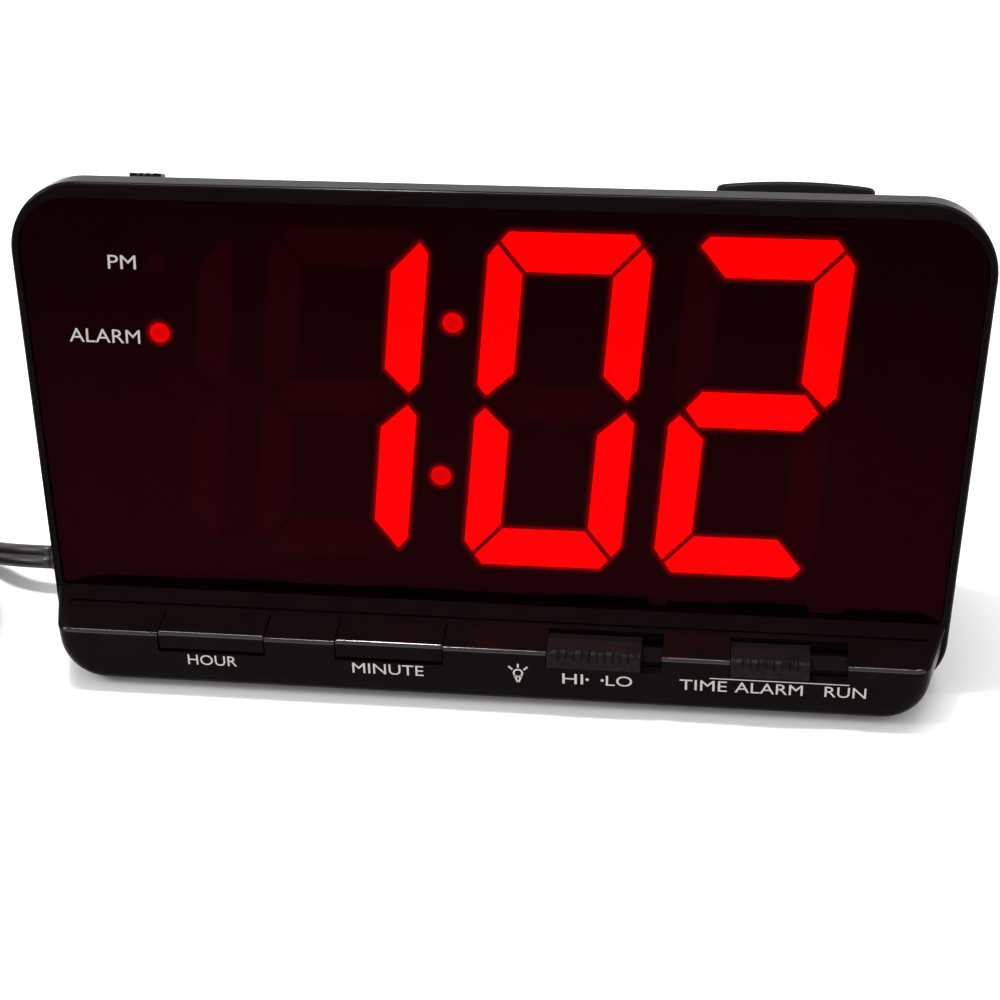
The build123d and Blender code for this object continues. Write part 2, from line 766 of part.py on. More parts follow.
# Alarm on and off knob on the sloping top
with BuildPart() as alarm_knob:
    with BuildSketch(slope_plane(snooze_skirt_top)):
        with Locations((alarm_knob_x, alarm_along)):
            RectangleRounded(alarm_knob_length, alarm_knob_width, 0.8)
    extrude(amount=alarm_knob_proud - snooze_skirt_top)
    with BuildSketch(slope_plane(alarm_knob_proud)):
        with Locations((alarm_knob_x, alarm_along)):
            with GridLocations(1.6, 1, 3, 1):
                Rectangle(0.6, alarm_knob_width + 1)
    extrude(amount=-0.6, mode=Mode.SUBTRACT)
    with BuildSketch(slope_plane(snooze_skirt_top)):
        with Locations((alarm_knob_x, alarm_along)):
            Rectangle(alarm_knob_length + 2 * alarm_travel + 1.6, alarm_knob_width + 2 * alarm_plate_rim)
    extrude(amount=-1)
    with BuildSketch(slope_plane(snooze_skirt_top - 1)):
        with Locations((alarm_knob_x, alarm_along)):
            Rectangle(lever_size + 0.2, lever_size + 0.2)
    extrude(amount=1.4, mode=Mode.SUBTRACT)


def segment_outlines():
    """Corner points of the seven bars of an upright digit about its middle, each keyed by its letter."""
    half, top = digit_width / 2, digit_height / 2
    slope_side = hypot(bar_width, bar_height)
    shift_across = bar_gap / 2 * slope_side / bar_height
    shift_up = bar_gap / 2 * slope_side / bar_width
    ratio = bar_width / bar_height
    drop_a = (1 - shift_across / corner_cut_across) / (ratio / corner_cut_across + 1 / corner_cut_up)
    in_a = shift_across + drop_a * ratio
    in_b = (1 - shift_up / corner_cut_up) / (1 / corner_cut_across + 1 / (ratio * corner_cut_up))
    drop_b = shift_up + in_b / ratio
    inner = half - bar_width
    right_half_a = [
        (half - corner_cut_across, top),
        (half - in_a, top - drop_a),
        (inner - shift_across, top - bar_height),
    ]
    bar_a = right_half_a + [(-x, y) for x, y in reversed(right_half_a)]
    bar_b = [
        (half, top - corner_cut_up),
        (half - in_b, top - drop_b),
        (inner, top - bar_height - shift_up),
        (inner, waist_inner),
        (half - waist_tip_inset, waist_tip),
        (half, waist_tip + waist_tip_rise),
    ]
    half_g = middle_bar_height / 2
    corner_g = [(middle_bar_half, half_g), (middle_bar_tip, 0), (middle_bar_half, -half_g)]
    bar_g = corner_g + [(-x, y) for x, y in reversed(corner_g)]
    return {
        "a": bar_a,
        "b": bar_b,
        "c": [(x, -y) for x, y in bar_b],
        "d": [(x, -y) for x, y in bar_a],
        "e": [(-x, -y) for x, y in bar_b],
        "f": [(-x, y) for x, y in bar_b],
        "g": bar_g,
    }


segments = segment_outlines()


def draw_segments(middle_x, letters):
    """Faces of those bars of one digit, slanted and set at its place on the lens."""
    for letter in letters:
        points = [(middle_x + x + digit_slant * y, digit_middle + y) for x, y in segments[letter]]
        Polygon(*points)


def draw_dots(places):
    with Locations(*places):
        Circle(dot_size / 2)


colon_places = [(colon_x + digit_slant * rise, digit_middle + rise) for rise in (colon_rise, -colon_rise)]
alarm_place = [(status_x, digit_middle + alarm_dot_rise)]
pm_place = [(status_x, digit_middle + pm_dot_rise)]
digit_letters = [(first_digit_x, "bc"), (hours_x, "abcdefg"), (tens_x, "abcdefg"), (minutes_x, "abcdefg")]

# Display housing: the black block whose windows shape the bars
with BuildPart() as display_housing:
    with BuildSketch(lens_plane(housing_face)):
        with Locations(((housing_left + housing_right) / 2, (housing_low + housing_high) / 2)):
            RectangleRounded(housing_right - housing_left, housing_high - housing_low, 2)
    extrude(amount=-housing_depth)
    with BuildSketch(lens_plane(housing_face)):
        for middle_x, letters in digit_letters:
            draw_segments(middle_x, letters)
        draw_dots(colon_places + alarm_place + pm_place)
    extrude(amount=-housing_depth, mode=Mode.SUBTRACT)

# Diffusers: one glowing piece in each window that is lit, at two minutes past one
with BuildPart() as digit_hours:
    with BuildSketch(lens_plane(housing_face)):
        draw_segments(hours_x, "bc")
    extrude(amount=-diffuser_thickness)

with BuildPart() as digit_tens:
    with BuildSketch(lens_plane(housing_face)):
        draw_segments(tens_x, "abcdef")
    extrude(amount=-diffuser_thickness)

with BuildPart() as digit_minutes:
    with BuildSketch(lens_plane(housing_face)):
        draw_segments(minutes_x, "abdeg")
    extrude(amount=-diffuser_thickness)

with BuildPart() as colon_dots:
    with BuildSketch(lens_plane(housing_face)):
        draw_dots(colon_places)
    extrude(amount=-diffuser_thickness)

with BuildPart() as alarm_dot:
    with BuildSketch(lens_plane(housing_face)):
        draw_dots(alarm_place)
    extrude(amount=-diffuser_thickness)

with BuildPart() as pm_dot:
    with BuildSketch(lens_plane(housing_face)):
        draw_dots(pm_place)
    extrude(amount=-diffuser_thickness)

with BuildPart() as unlit_segments:
    with BuildSketch(lens_plane(housing_face)):
        draw_segments(first_digit_x, "bc")
        draw_segments(hours_x, "adefg")
        draw_segments(tens_x, "g")
        draw_segments(minutes_x, "cf")
    extrude(amount=-diffuser_thickness)

# Display board behind the housing, with its lamps
with BuildPart() as display_board:
    with BuildSketch(lens_plane(housing_back)):
        with Locations((0, (housing_low + housing_high) / 2)):
            Rectangle(2 * board_half, housing_high - housing_low + 0.5)
        for up in display_post_ups:
            with Locations((0, up)):
                Rectangle(2 * board_tab_half, board_tab_height)
        with Locations(*display_posts):
            Circle(small_screw_size / 2 + 0.15, mode=Mode.SUBTRACT)
    extrude(amount=-board_thickness)


def bar_middle(letter):
    points = segments[letter]
    return sum(x for x, y in points) / len(points), sum(y for x, y in points) / len(points)


lamp_places = list(colon_places + alarm_place + pm_place)
for middle_x, letters in digit_letters:
    for letter in letters:
        x, y = bar_middle(letter)
        for step in (-6.5, 6.5):
            across, along = (step, 0) if letter in "adg" else (0, step)
            lamp_x = middle_x + x + across + digit_slant * (y + along)
            lamp_places.append((lamp_x, digit_middle + y + along))

with BuildPart() as segment_lamps:
    with BuildSketch(lens_plane(housing_back)):
        with Locations(*lamp_places):
            Rectangle(2.0, 1.6)
    extrude(amount=1.1)

with BuildPart() as display_screws:
    for x, up in display_posts:
        with BuildSketch(lens_plane(board_back)):
            with Locations((x, up)):
                Circle(small_screw_head / 2)
        extrude(amount=-1.3)
        with BuildSketch(lens_plane(board_back)):
            with Locations((x, up)):
                Circle(small_screw_size / 2)
        extrude(amount=small_screw_length)

# Key board under the ledge, with its key switches and slide switches
key_board_top = key_board_z + plate_thickness
key_switch_y = lip_y + control_depth / 2 + 1.0
with BuildPart() as key_board:
    with BuildSketch(Plane.XY.offset(key_board_z)):
        board_x = (key_board_left + key_board_right) / 2
        with Locations((board_x, lip_y + (key_board_front + key_board_back) / 2)):
            Rectangle(key_board_right - key_board_left, key_board_back - key_board_front)
        with Locations(*[(x, key_post_y) for x in key_post_xs]):
            Circle(small_screw_size / 2 + 0.15, mode=Mode.SUBTRACT)
    extrude(amount=plate_thickness)

with BuildPart() as key_board_screws:
    for x in key_post_xs:
        with BuildSketch(Plane.XY.offset(key_board_top)):
            with Locations((x, key_post_y)):
                Circle(small_screw_head / 2)
        extrude(amount=1.3)
        with BuildSketch(Plane.XY.offset(key_board_top)):
            with Locations((x, key_post_y)):
                Circle(small_screw_size / 2)
        extrude(amount=-(key_board_top - foot_gap - 1.2))

with BuildPart() as key_switches:
    for x in (hour_x, minute_x):
        with BuildSketch(Plane.XY.offset(key_board_top)):
            with Locations((x, key_switch_y)):
                Rectangle(tact_size, tact_size)
        extrude(amount=key_bottom - key_travel - 0.05 - plunger_height - key_board_top)
        with BuildSketch(Plane.XY.offset(key_bottom - key_travel - 0.05)):
            with Locations((x, key_switch_y)):
                Circle(plunger_size / 2)
        extrude(amount=-plunger_height)


def slide_switch(middle_x, travel):
    """Slide switch on the key board, slotted along its top for the lever."""
    with BuildPart() as switch:
        with BuildSketch(Plane.XY.offset(key_board_top)):
            with Locations((middle_x + travel / 2, slide_switch_y)):
                Rectangle(slide_switch_length + travel - dimmer_travel, slide_switch_width)
        extrude(amount=slide_switch_height)
        with BuildSketch(Plane.XY.offset(key_board_top + slide_switch_height)):
            with Locations((middle_x + travel / 2, slide_switch_y)):
                Rectangle(lever_size + travel + 0.6, lever_size + 0.2)
        extrude(amount=-2.2, mode=Mode.SUBTRACT)
    return switch


def switch_lever(middle_x):
    """Lever of a slide switch, up into the pocket of its knob."""
    lever_low = key_board_top + slide_switch_height - 2.0
    with BuildPart() as lever:
        with BuildSketch(Plane.XY.offset(lever_low)):
            with Locations((middle_x, slide_switch_y)):
                Rectangle(lever_size, lever_size)
        extrude(amount=key_bottom + 1.4 - lever_low)
    return lever


dimmer_switch = slide_switch(dimmer_x, dimmer_travel)
dimmer_lever = switch_lever(dimmer_x)
mode_switch = slide_switch(mode_x, mode_travel)
mode_lever = switch_lever(mode_x)

# Boards and switches under the sloping top


def top_board(post_xs, post_along, width):
    """Small board of that width, hung under the sloping top on two posts."""
    with BuildPart() as board:
        with BuildSketch(slope_plane(tact_low_top)):
            with Locations(((post_xs[0] + post_xs[1]) / 2, top_board_front + width / 2)):
                Rectangle(post_xs[1] - post_xs[0] + 2 * top_post_radius + 0.2, width)
            with Locations(*[(x, post_along) for x in post_xs]):
                Circle(small_screw_size / 2 + 0.15, mode=Mode.SUBTRACT)
        extrude(amount=-plate_thickness)
    return board


snooze_board = top_board(snooze_post_xs, snooze_post_along, top_board_width)
alarm_board = top_board(alarm_post_xs, alarm_post_along, alarm_board_width)

with BuildPart() as top_board_screws:
    for x in (*snooze_post_xs, *alarm_post_xs):
        along = snooze_post_along if x > 0 else alarm_post_along
        with BuildSketch(slope_plane(tact_low_top - plate_thickness)):
            with Locations((x, along)):
                Circle(small_screw_head / 2)
        extrude(amount=-1.3)
        with BuildSketch(slope_plane(tact_low_top - plate_thickness)):
            with Locations((x, along)):
                Circle(small_screw_size / 2)
        extrude(amount=small_screw_length)

with BuildPart() as snooze_switch:
    with BuildSketch(slope_plane(tact_low_top)):
        with Locations((snooze_x, tact_along)):
            Rectangle(tact_size, tact_size)
    extrude(amount=tact_height)
    with BuildSketch(slope_plane(tact_low_top + tact_height)):
        with Locations((snooze_x, tact_along)):
            Circle(plunger_size / 2)
    extrude(amount=plunger_height)

with BuildPart() as alarm_switch:
    with BuildSketch(slope_plane(tact_low_top)):
        with Locations((alarm_knob_x + alarm_travel / 2, alarm_along)):
            Rectangle(slide_switch_length, slide_switch_width)
    extrude(amount=slide_switch_height + 1.5)
    with BuildSketch(slope_plane(tact_low_top + slide_switch_height + 1.5)):
        with Locations((alarm_knob_x + alarm_travel / 2, alarm_along)):
            Rectangle(lever_size + alarm_travel + 0.6, lever_size + 0.2)
    extrude(amount=-2.2, mode=Mode.SUBTRACT)

with BuildPart() as alarm_lever:
    with BuildSketch(slope_plane(tact_low_top + slide_switch_height - 0.5)):
        with Locations((alarm_knob_x, alarm_along)):
            Rectangle(lever_size, lever_size)
    extrude(amount=snooze_skirt_top + 0.3 - tact_low_top - slide_switch_height + 0.5)

# Main board on the inside of the rear panel
board_front_y = main_board_y - board_thickness
with BuildPart() as main_board:
    with BuildSketch(upright(main_board_y)):
        with Locations((0, (main_board_low + main_board_high) / 2)):
            Rectangle(2 * main_board_half, main_board_high - main_board_low)
        with Locations(*[(x, z) for x in main_post_xs for z in main_post_zs]):
            Circle(small_screw_size / 2 + 0.15, mode=Mode.SUBTRACT)
    extrude(amount=board_thickness)

with BuildPart() as main_board_screws:
    for x in main_post_xs:
        for z in main_post_zs:
            with BuildSketch(upright(board_front_y)):
                with Locations((x, z)):
                    Circle(small_screw_head / 2)
            extrude(amount=1.3)
            with BuildSketch(upright(board_front_y)):
                with Locations((x, z)):
                    Circle(small_screw_size / 2)
            extrude(amount=-(board_thickness + 3))

with BuildPart() as clock_chip:
    chip_z = main_board_high - chip_below_top
    chip_middle_off = chip_stand_off + chip_thickness / 2
    with Locations((chip_x, board_front_y - chip_middle_off, chip_z)):
        Box(chip_length, chip_thickness, chip_height)
    with Locations((chip_x, board_front_y - chip_middle_off / 2, chip_z)):
        with GridLocations(pin_pitch, 1, pins_on_a_side, 1):
            Box(0.5, chip_middle_off, chip_height + 2.2)

with BuildPart() as filter_capacitor:
    with BuildSketch(Plane.XY.offset(36)):
        with Locations((-30, board_front_y - 5)):
            Circle(5)
    extrude(amount=16)

with BuildPart() as rectifier_diodes:
    for row in range(4):
        with BuildSketch(Plane.YZ.offset(-20)):
            with Locations((board_front_y - 1.35, 36 + 4.5 * row)):
                Circle(1.35)
        extrude(amount=5.2)

with BuildPart() as buzzer:
    with BuildSketch(upright(inner_rear_y)):
        with Locations((buzzer_x, buzzer_z)):
            Circle(buzzer_size / 2)
    extrude(amount=buzzer_height)
    with BuildSketch(upright(inner_rear_y)):
        with Locations((buzzer_x, buzzer_z)):
            Circle(1.5)
    extrude(amount=1.5, mode=Mode.SUBTRACT)

# Transformer on the cover's floor
core_y = inner_rear_y - winding_depth / 2 - 1.0
bracket_thickness = 1.0
core_low = floor_top + bracket_thickness
core_z = core_low + core_height / 2
window_height = core_height - 10
with BuildPart() as transformer_core:
    with Locations((transformer_x, core_y, core_z)):
        Box(core_length, core_depth, core_height)
        with GridLocations(core_limb + core_window, 1, 2, 1):
            Box(core_window, core_depth, window_height, mode=Mode.SUBTRACT)

with BuildPart() as transformer_winding:
    with Locations((transformer_x, core_y, core_z)):
        Box(core_limb + 2 * core_window - 0.3, winding_depth, window_height - 0.3)
        Box(core_limb + 0.1, core_depth + 0.1, core_height, mode=Mode.SUBTRACT)
    fillet(transformer_winding.edges().filter_by(Axis.Z).group_by(Axis.Y)[0], 3)
    fillet(transformer_winding.edges().filter_by(Axis.Z).group_by(Axis.Y)[-1], 3)

ear_reach = 7.0
with BuildPart() as transformer_bracket:
    with Locations((transformer_x, core_y, floor_top + bracket_thickness / 2)):
        Box(core_length + 2 * ear_reach, core_depth, bracket_thickness)
    for way in (-1, 1):
        wall_x = transformer_x + way * (core_length / 2 + bracket_thickness / 2)
        with Locations((wall_x, core_y, floor_top + 8)):
            Box(bracket_thickness, core_depth, 16)
        with BuildSketch(Plane.XY.offset(floor_top)):
            with Locations((transformer_x + way * (core_length / 2 + 4), core_y)):
                Circle(small_screw_size / 2 + 0.15)
        extrude(amount=bracket_thickness, mode=Mode.SUBTRACT)

with BuildPart() as transformer_screws:
    for way in (-1, 1):
        screw_x = transformer_x + way * (core_length / 2 + 4)
        with Locations((screw_x, core_y, floor_top + bracket_thickness + 0.65)):
            Cylinder(small_screw_head / 2, 1.3)
        with Locations((screw_x, core_y, floor_top + bracket_thickness / 2)):
            Cylinder(small_screw_size / 2, bracket_thickness)

# Back-up battery with its snap connector
with BuildPart() as backup_battery:
    with Locations((bay_right - 0.5 - battery_length / 2, battery_y, battery_z)):
        Box(battery_length - 2.5, battery_width, battery_height)
    fillet(backup_battery.edges().filter_by(Axis.X), 2)
    for way, size in ((-1, 2.8), (1, 3.6)):
        with BuildSketch(Plane.YZ.offset(stud_x - 2.0)):
            with Locations((battery_y + way * 6.35, battery_z)):
                Circle(size)
        extrude(amount=2.1)

with BuildPart() as battery_snap:
    with BuildSketch(Plane.YZ.offset(stud_x - 2.0)):
        with Locations((battery_y, battery_z)):
            RectangleRounded(snap_length, snap_width, 3)
    extrude(amount=-2.0)

# Leads inside the case
with BuildPart() as mains_leads:
    for step in (-1.2, 1.2):
        lead_y = relief_y + step
        with BuildLine() as lead_path:
            FilletPolyline(
                (relief_inner_x, lead_y, cord_exit_z),
                (relief_inner_x + 2.0, lead_y, cord_exit_z),
                (relief_inner_x + 2.0, lead_y + 2, 19.5),
                (transformer_x - core_length / 2 - 6, core_y - 4 + step, 22.0),
                (transformer_x - core_length / 2, core_y - 4 + step, 22.0),
                radius=1.0,
            )
        with BuildSketch(Plane.YZ.offset(relief_inner_x)):
            with Locations((lead_y, cord_exit_z)):
                Circle(0.8)
        sweep(path=lead_path.wires()[0])

with BuildPart() as battery_leads:
    for step in (-2, 2):
        with BuildLine() as lead_path:
            FilletPolyline(
                (stud_x - 4.0, battery_y + step, battery_z + 3),
                (stud_x - 6.0, battery_y + step, battery_z + 3),
                (stud_x - 6.0, battery_y + step, bay_high + 6),
                (stud_x - 8.0, board_front_y - 4, main_board_low + 4 + step),
                (stud_x - 8.0, board_front_y, main_board_low + 4 + step),
                radius=1.2,
            )
        with BuildSketch(Plane.YZ.offset(stud_x - 4.0)):
            with Locations((battery_y + step, battery_z + 3)):
                Circle(0.6)
        sweep(path=lead_path.wires()[0])

# Mains lead: strain relief, free stretch, coil, lead to the plug, plug and tie
with BuildPart() as strain_relief:
    with BuildSketch(Plane.YZ.offset(relief_face_x)):
        with Locations((relief_y, cord_exit_z)):
            Circle(relief_flange / 2)
    extrude(amount=-1.2)
    with BuildSketch(Plane.YZ.offset(relief_face_x - 1.2)):
        with Locations((relief_y, cord_exit_z)):
            Circle(4.0)
    with BuildSketch(Plane.YZ.offset(relief_tip_x)):
        with Locations((relief_y, cord_exit_z)):
            Circle(3.0)
    loft()
    with BuildSketch(Plane.YZ.offset(relief_face_x)):
        with Locations((relief_y, cord_exit_z)):
            Circle(relief_neck / 2)
    extrude(amount=relief_inner_x - relief_face_x)

cord_low = coil_rest + cord_size / 2
coil_y = lip_y + coil_back - coil_outer
free_points = [
    (relief_tip_x, relief_y, cord_exit_z),
    (relief_tip_x - 8, relief_y, cord_exit_z),
    (-129.0, lip_y + 47.5, 4.3),
    (-142.0, lip_y + coil_back, cord_low),
    (coil_x + cord_size, coil_y + coil_outer, cord_low),
]
layer_rise = coil_pitch
upper_z = cord_low + layer_rise
plug_points = [
    (-cord_size, coil_outer, upper_z),
    (-13.5, coil_outer, upper_z),
    (-25.5, 34.5, upper_z + 2.6),
    (-34.0, 23.0, upper_z + 5.0),
    (-36.5, 9.0, upper_z + 5.7),
    (-34.5, -5.0, upper_z + 5.5),
    (-28.0, -18.0, upper_z + 5.9),
    (-17.5, -27.5, upper_z + 6.9),
    (-6.5, -31.5, upper_z + 7.7),
]
plug_points = [(coil_x + x, coil_y + y, z) for x, y, z in plug_points]


def bend_radii(points):
    """Radius of each arc: 0.45 of the shorter run beside it, over the tangent of half the turn."""
    corners = [Vector(*point) for point in points]
    radii = []
    for before, corner, after in zip(corners, corners[1:], corners[2:]):
        into, out = corner - before, after - corner
        turn = into.get_angle(out)
        radii.append(0.45 * min(into.length, out.length) / tan(radians(turn / 2)))
    return radii


def cord_tube(points):
    """Round tube along straight runs and tangent arcs, and its length; prints its radii."""
    radii = bend_radii(points)
    start = Vector(*points[0])
    with BuildPart() as tube:
        with BuildLine() as path:
            FilletPolyline(*points, radius=radii)
        with BuildSketch(Plane(origin=start, z_dir=Vector(*points[1]) - start)):
            Circle(cord_size / 2)
        route = path.wires()[0]
        sweep(path=route)
    print("tube length", round(route.length, 1), "radii", [round(radius) for radius in radii])
    return tube, route


power_cord, free_path = cord_tube(free_points)
plug_lead, plug_path = cord_tube(plug_points)

# Ends of the half turns: radius from the coil's middle, and height
half_pitch = coil_pitch / 2
inward = [(coil_outer - step * half_pitch, cord_low) for step in range(coil_half_turns - 1)]
turned = [(coil_outer - step * half_pitch, upper_z) for step in range(coil_half_turns - 1, -1, -1)]
innermost = coil_outer - (coil_half_turns + 1) * half_pitch
coil_ends = inward + [(innermost + half_pitch, cord_low), (innermost, upper_z)] + turned

with BuildPart() as cord_coil:
    with BuildLine() as coil_path:
        Line((coil_x + cord_size, coil_y + coil_outer, cord_low), (coil_x, coil_y + coil_outer, cord_low))
        for step, (start, end) in enumerate(zip(coil_ends, coil_ends[1:])):
            way = 1 if step % 2 == 0 else -1
            radius = (start[0] + end[0]) / 2
            middle_y = coil_y + way * (start[0] - end[0]) / 2
            half_rise = (end[1] - start[1]) / 2
            begin = (coil_x, coil_y + way * start[0], start[1])
            finish = (coil_x, coil_y - way * end[0], end[1])
            if half_rise == 0:
                ThreePointArc(begin, (coil_x - way * radius, middle_y, start[1]), finish)
            else:
                halfway = (coil_x - way * hypot(radius, half_rise), middle_y, start[1] + half_rise)
                TangentArc(begin, halfway, tangent=(-way, 0, 0))
                TangentArc(halfway, finish, tangent=(0, -way * radius, half_rise))
        Line((coil_x, coil_y + coil_outer, upper_z), (coil_x - cord_size, coil_y + coil_outer, upper_z))
    with BuildSketch(Plane.YZ.offset(coil_x + cord_size)):
        with Locations((coil_y + coil_outer, cord_low)):
            Circle(cord_size / 2)
    coil_route = coil_path.wires()[0]
    sweep(path=coil_route)


def least_gap(first, second, skip):
    """Smallest distance between the surfaces of two lengths of cord, measured on points along them."""
    least = 1000.0
    for count, (length_a, point_a) in enumerate(first):
        for length_b, point_b in second:
            if skip and abs(length_a - length_b) < 4 * cord_size:
                continue
            least = min(least, (point_a - point_b).length)
    return least - cord_size


def sampled(line, spacing):
    count = int(line.length / spacing)
    return [(line.length * step / count, line.position_at(step / count)) for step in range(count + 1)]


coil_samples = sampled(coil_route, 4.0)
lead_samples = sampled(plug_path, 2.0)
tube_section = pi * cord_size**2 / 4
coil_length = coil_route.length
coil_gap = least_gap(coil_samples, coil_samples, True)
print("coil length", round(coil_length, 1), "least gap to itself", round(coil_gap, 2))
print("coil to plug lead", round(least_gap(coil_samples, lead_samples[6:], False), 2))
print("whole lead", round(free_path.length + coil_length + plug_path.length, 1))
tubes = ((power_cord, free_path.length), (cord_coil, coil_length), (plug_lead, plug_path.length))
for piece, length in tubes:
    print("volume over section times length", round(piece.part.volume / (tube_section * length), 4))

plug_start = Vector(*plug_points[-1])
plug_way = (plug_start - Vector(*plug_points[-2])).normalized()
flat_way = Vector(plug_way.X, plug_way.Y, 0).normalized()
plug_plane = Plane(origin=plug_start, x_dir=(-flat_way.Y, flat_way.X, 0), z_dir=plug_way)
with BuildPart() as plug_body:
    with BuildSketch(plug_plane):
        RectangleRounded(7.5, 6.0, 2.4)
    with BuildSketch(plug_plane.offset(9)):
        RectangleRounded(plug_width - 4, plug_thickness - 1.5, 3)
    loft()
    with BuildSketch(plug_plane.offset(9)):
        RectangleRounded(plug_width, plug_thickness, 3.2)
    extrude(amount=plug_length - 9)
    chamfer(plug_body.edges().group_by(Axis(plug_start, plug_way))[-1], 0.8)

with BuildPart() as plug_blades:
    with BuildSketch(plug_plane.offset(plug_length)):
        with GridLocations(blade_spacing, 1, 2, 1):
            Rectangle(blade_thickness, blade_width)
    extrude(amount=blade_length)
    with BuildSketch(plug_plane.offset(plug_length)):
        with GridLocations(blade_spacing, 1, 2, 1):
            Rectangle(blade_thickness, 3)

# Tie round the band of the coil
band_inner = innermost + half_pitch - cord_size / 2 - 1.0
band_outer = coil_outer - half_pitch / 2 + cord_size / 2 + 0.4
with BuildPart() as cord_tie:
    with BuildSketch(Plane.XZ.offset(-coil_y)):
        tie_top = upper_z + cord_size / 2 + 0.3 + tie_thickness
        with Locations((coil_x + (band_inner + band_outer) / 2, tie_top / 2)):
            RectangleRounded(band_outer - band_inner + 2 * tie_thickness, tie_top, 1.5)
            RectangleRounded(band_outer - band_inner, tie_top - 2 * tie_thickness, 1.1, mode=Mode.SUBTRACT)
    extrude(amount=tie_width / 2, both=True)

pieces = {
    "front_bezel": front_bezel,
    "display_lens": display_lens,
    "rear_cover": rear_cover,
    "battery_door": battery_door,
    "rubber_feet": rubber_feet,
    "case_screws": case_screws,
    "hour_button": hour_button,
    "minute_button": minute_button,
    "dimmer_knob": dimmer_knob,
    "mode_knob": mode_knob,
    "snooze_button": snooze_button,
    "alarm_knob": alarm_knob,
    "display_housing": display_housing,
    "digit_hours": digit_hours,
    "digit_tens": digit_tens,
    "digit_minutes": digit_minutes,
    "colon_dots": colon_dots,
    "alarm_dot": alarm_dot,
    "pm_dot": pm_dot,
    "unlit_segments": unlit_segments,
    "display_board": display_board,
    "segment_lamps": segment_lamps,
    "display_screws": display_screws,
    "key_board": key_board,
    "key_board_screws": key_board_screws,
    "key_switches": key_switches,
    "dimmer_switch": dimmer_switch,
    "dimmer_lever": dimmer_lever,
    "mode_switch": mode_switch,
    "mode_lever": mode_lever,
    "snooze_board": snooze_board,
    "snooze_switch": snooze_switch,
    "alarm_board": alarm_board,
    "alarm_switch": alarm_switch,
    "alarm_lever": alarm_lever,
    "top_board_screws": top_board_screws,
    "main_board": main_board,
    "main_board_screws": main_board_screws,
    "clock_chip": clock_chip,
    "filter_capacitor": filter_capacitor,
    "rectifier_diodes": rectifier_diodes,
    "buzzer": buzzer,
    "transformer_core": transformer_core,
    "transformer_winding": transformer_winding,
    "transformer_bracket": transformer_bracket,
    "transformer_screws": transformer_screws,
    "backup_battery": backup_battery,
    "battery_snap": battery_snap,
    "mains_leads": mains_leads,
    "battery_leads": battery_leads,
    "strain_relief": strain_relief,
    "power_cord": power_cord,
    "cord_coil": cord_coil,
    "plug_lead": plug_lead,
    "plug_body": plug_body,
    "plug_blades": plug_blades,
    "cord_tie": cord_tie,
}

os.makedirs("parts", exist_ok=True)
for name, piece in pieces.items():
    piece.part.label = name
    export_step(piece.part, f"parts/{name}.step")
print(len(pieces), "pieces written")
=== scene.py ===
# %% [markdown]
# # A digital alarm clock with three-inch digits
# The clock is a black wedge of moulded plastic. Seven-segment digits glow red behind a dark red lens,
# and a lip below the lens carries two keys and two slide switches. The solids come from a CAD model,
# so every shape here sits in the same place as there. This script gives each solid its finish, and it
# makes the pieces that a solid can't show well, such as the mains lead and the printed words.

# %% Load the solids
import math

import bmesh
import bpy
import numpy as np
from mathutils import Matrix, Vector


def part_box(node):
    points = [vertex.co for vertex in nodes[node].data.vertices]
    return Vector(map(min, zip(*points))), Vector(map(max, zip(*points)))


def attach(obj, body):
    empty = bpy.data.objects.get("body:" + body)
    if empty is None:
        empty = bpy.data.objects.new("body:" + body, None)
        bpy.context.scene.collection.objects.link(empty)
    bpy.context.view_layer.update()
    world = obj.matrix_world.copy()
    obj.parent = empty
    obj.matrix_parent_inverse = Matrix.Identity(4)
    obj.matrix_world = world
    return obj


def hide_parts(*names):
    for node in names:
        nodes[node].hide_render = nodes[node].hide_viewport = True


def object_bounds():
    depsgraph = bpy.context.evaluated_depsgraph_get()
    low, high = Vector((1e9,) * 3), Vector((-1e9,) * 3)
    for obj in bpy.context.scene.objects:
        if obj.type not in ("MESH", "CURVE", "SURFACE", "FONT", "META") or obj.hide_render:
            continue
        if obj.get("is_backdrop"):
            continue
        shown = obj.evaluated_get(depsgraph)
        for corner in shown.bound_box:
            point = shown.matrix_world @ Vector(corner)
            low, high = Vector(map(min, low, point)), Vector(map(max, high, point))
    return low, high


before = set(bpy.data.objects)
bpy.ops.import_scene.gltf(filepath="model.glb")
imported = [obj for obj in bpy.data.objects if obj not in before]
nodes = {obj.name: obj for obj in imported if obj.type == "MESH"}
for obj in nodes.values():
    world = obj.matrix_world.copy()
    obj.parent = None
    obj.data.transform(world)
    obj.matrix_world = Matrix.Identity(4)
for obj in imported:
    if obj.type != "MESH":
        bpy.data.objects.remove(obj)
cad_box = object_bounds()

scene = bpy.context.scene

# %% [markdown]
# ## Camera
# The photograph looks down on the clock from its right. The camera's place was fitted to the corners of
# the lens and of the digits, which are flat, with the digits taken as three inches tall. Its direction is
# therefore written against the lens, which leans back by ten degrees. A small shift of the camera's own
# lens stands for the crop of the photograph, and depth of field stays off, so that every view is sharp.

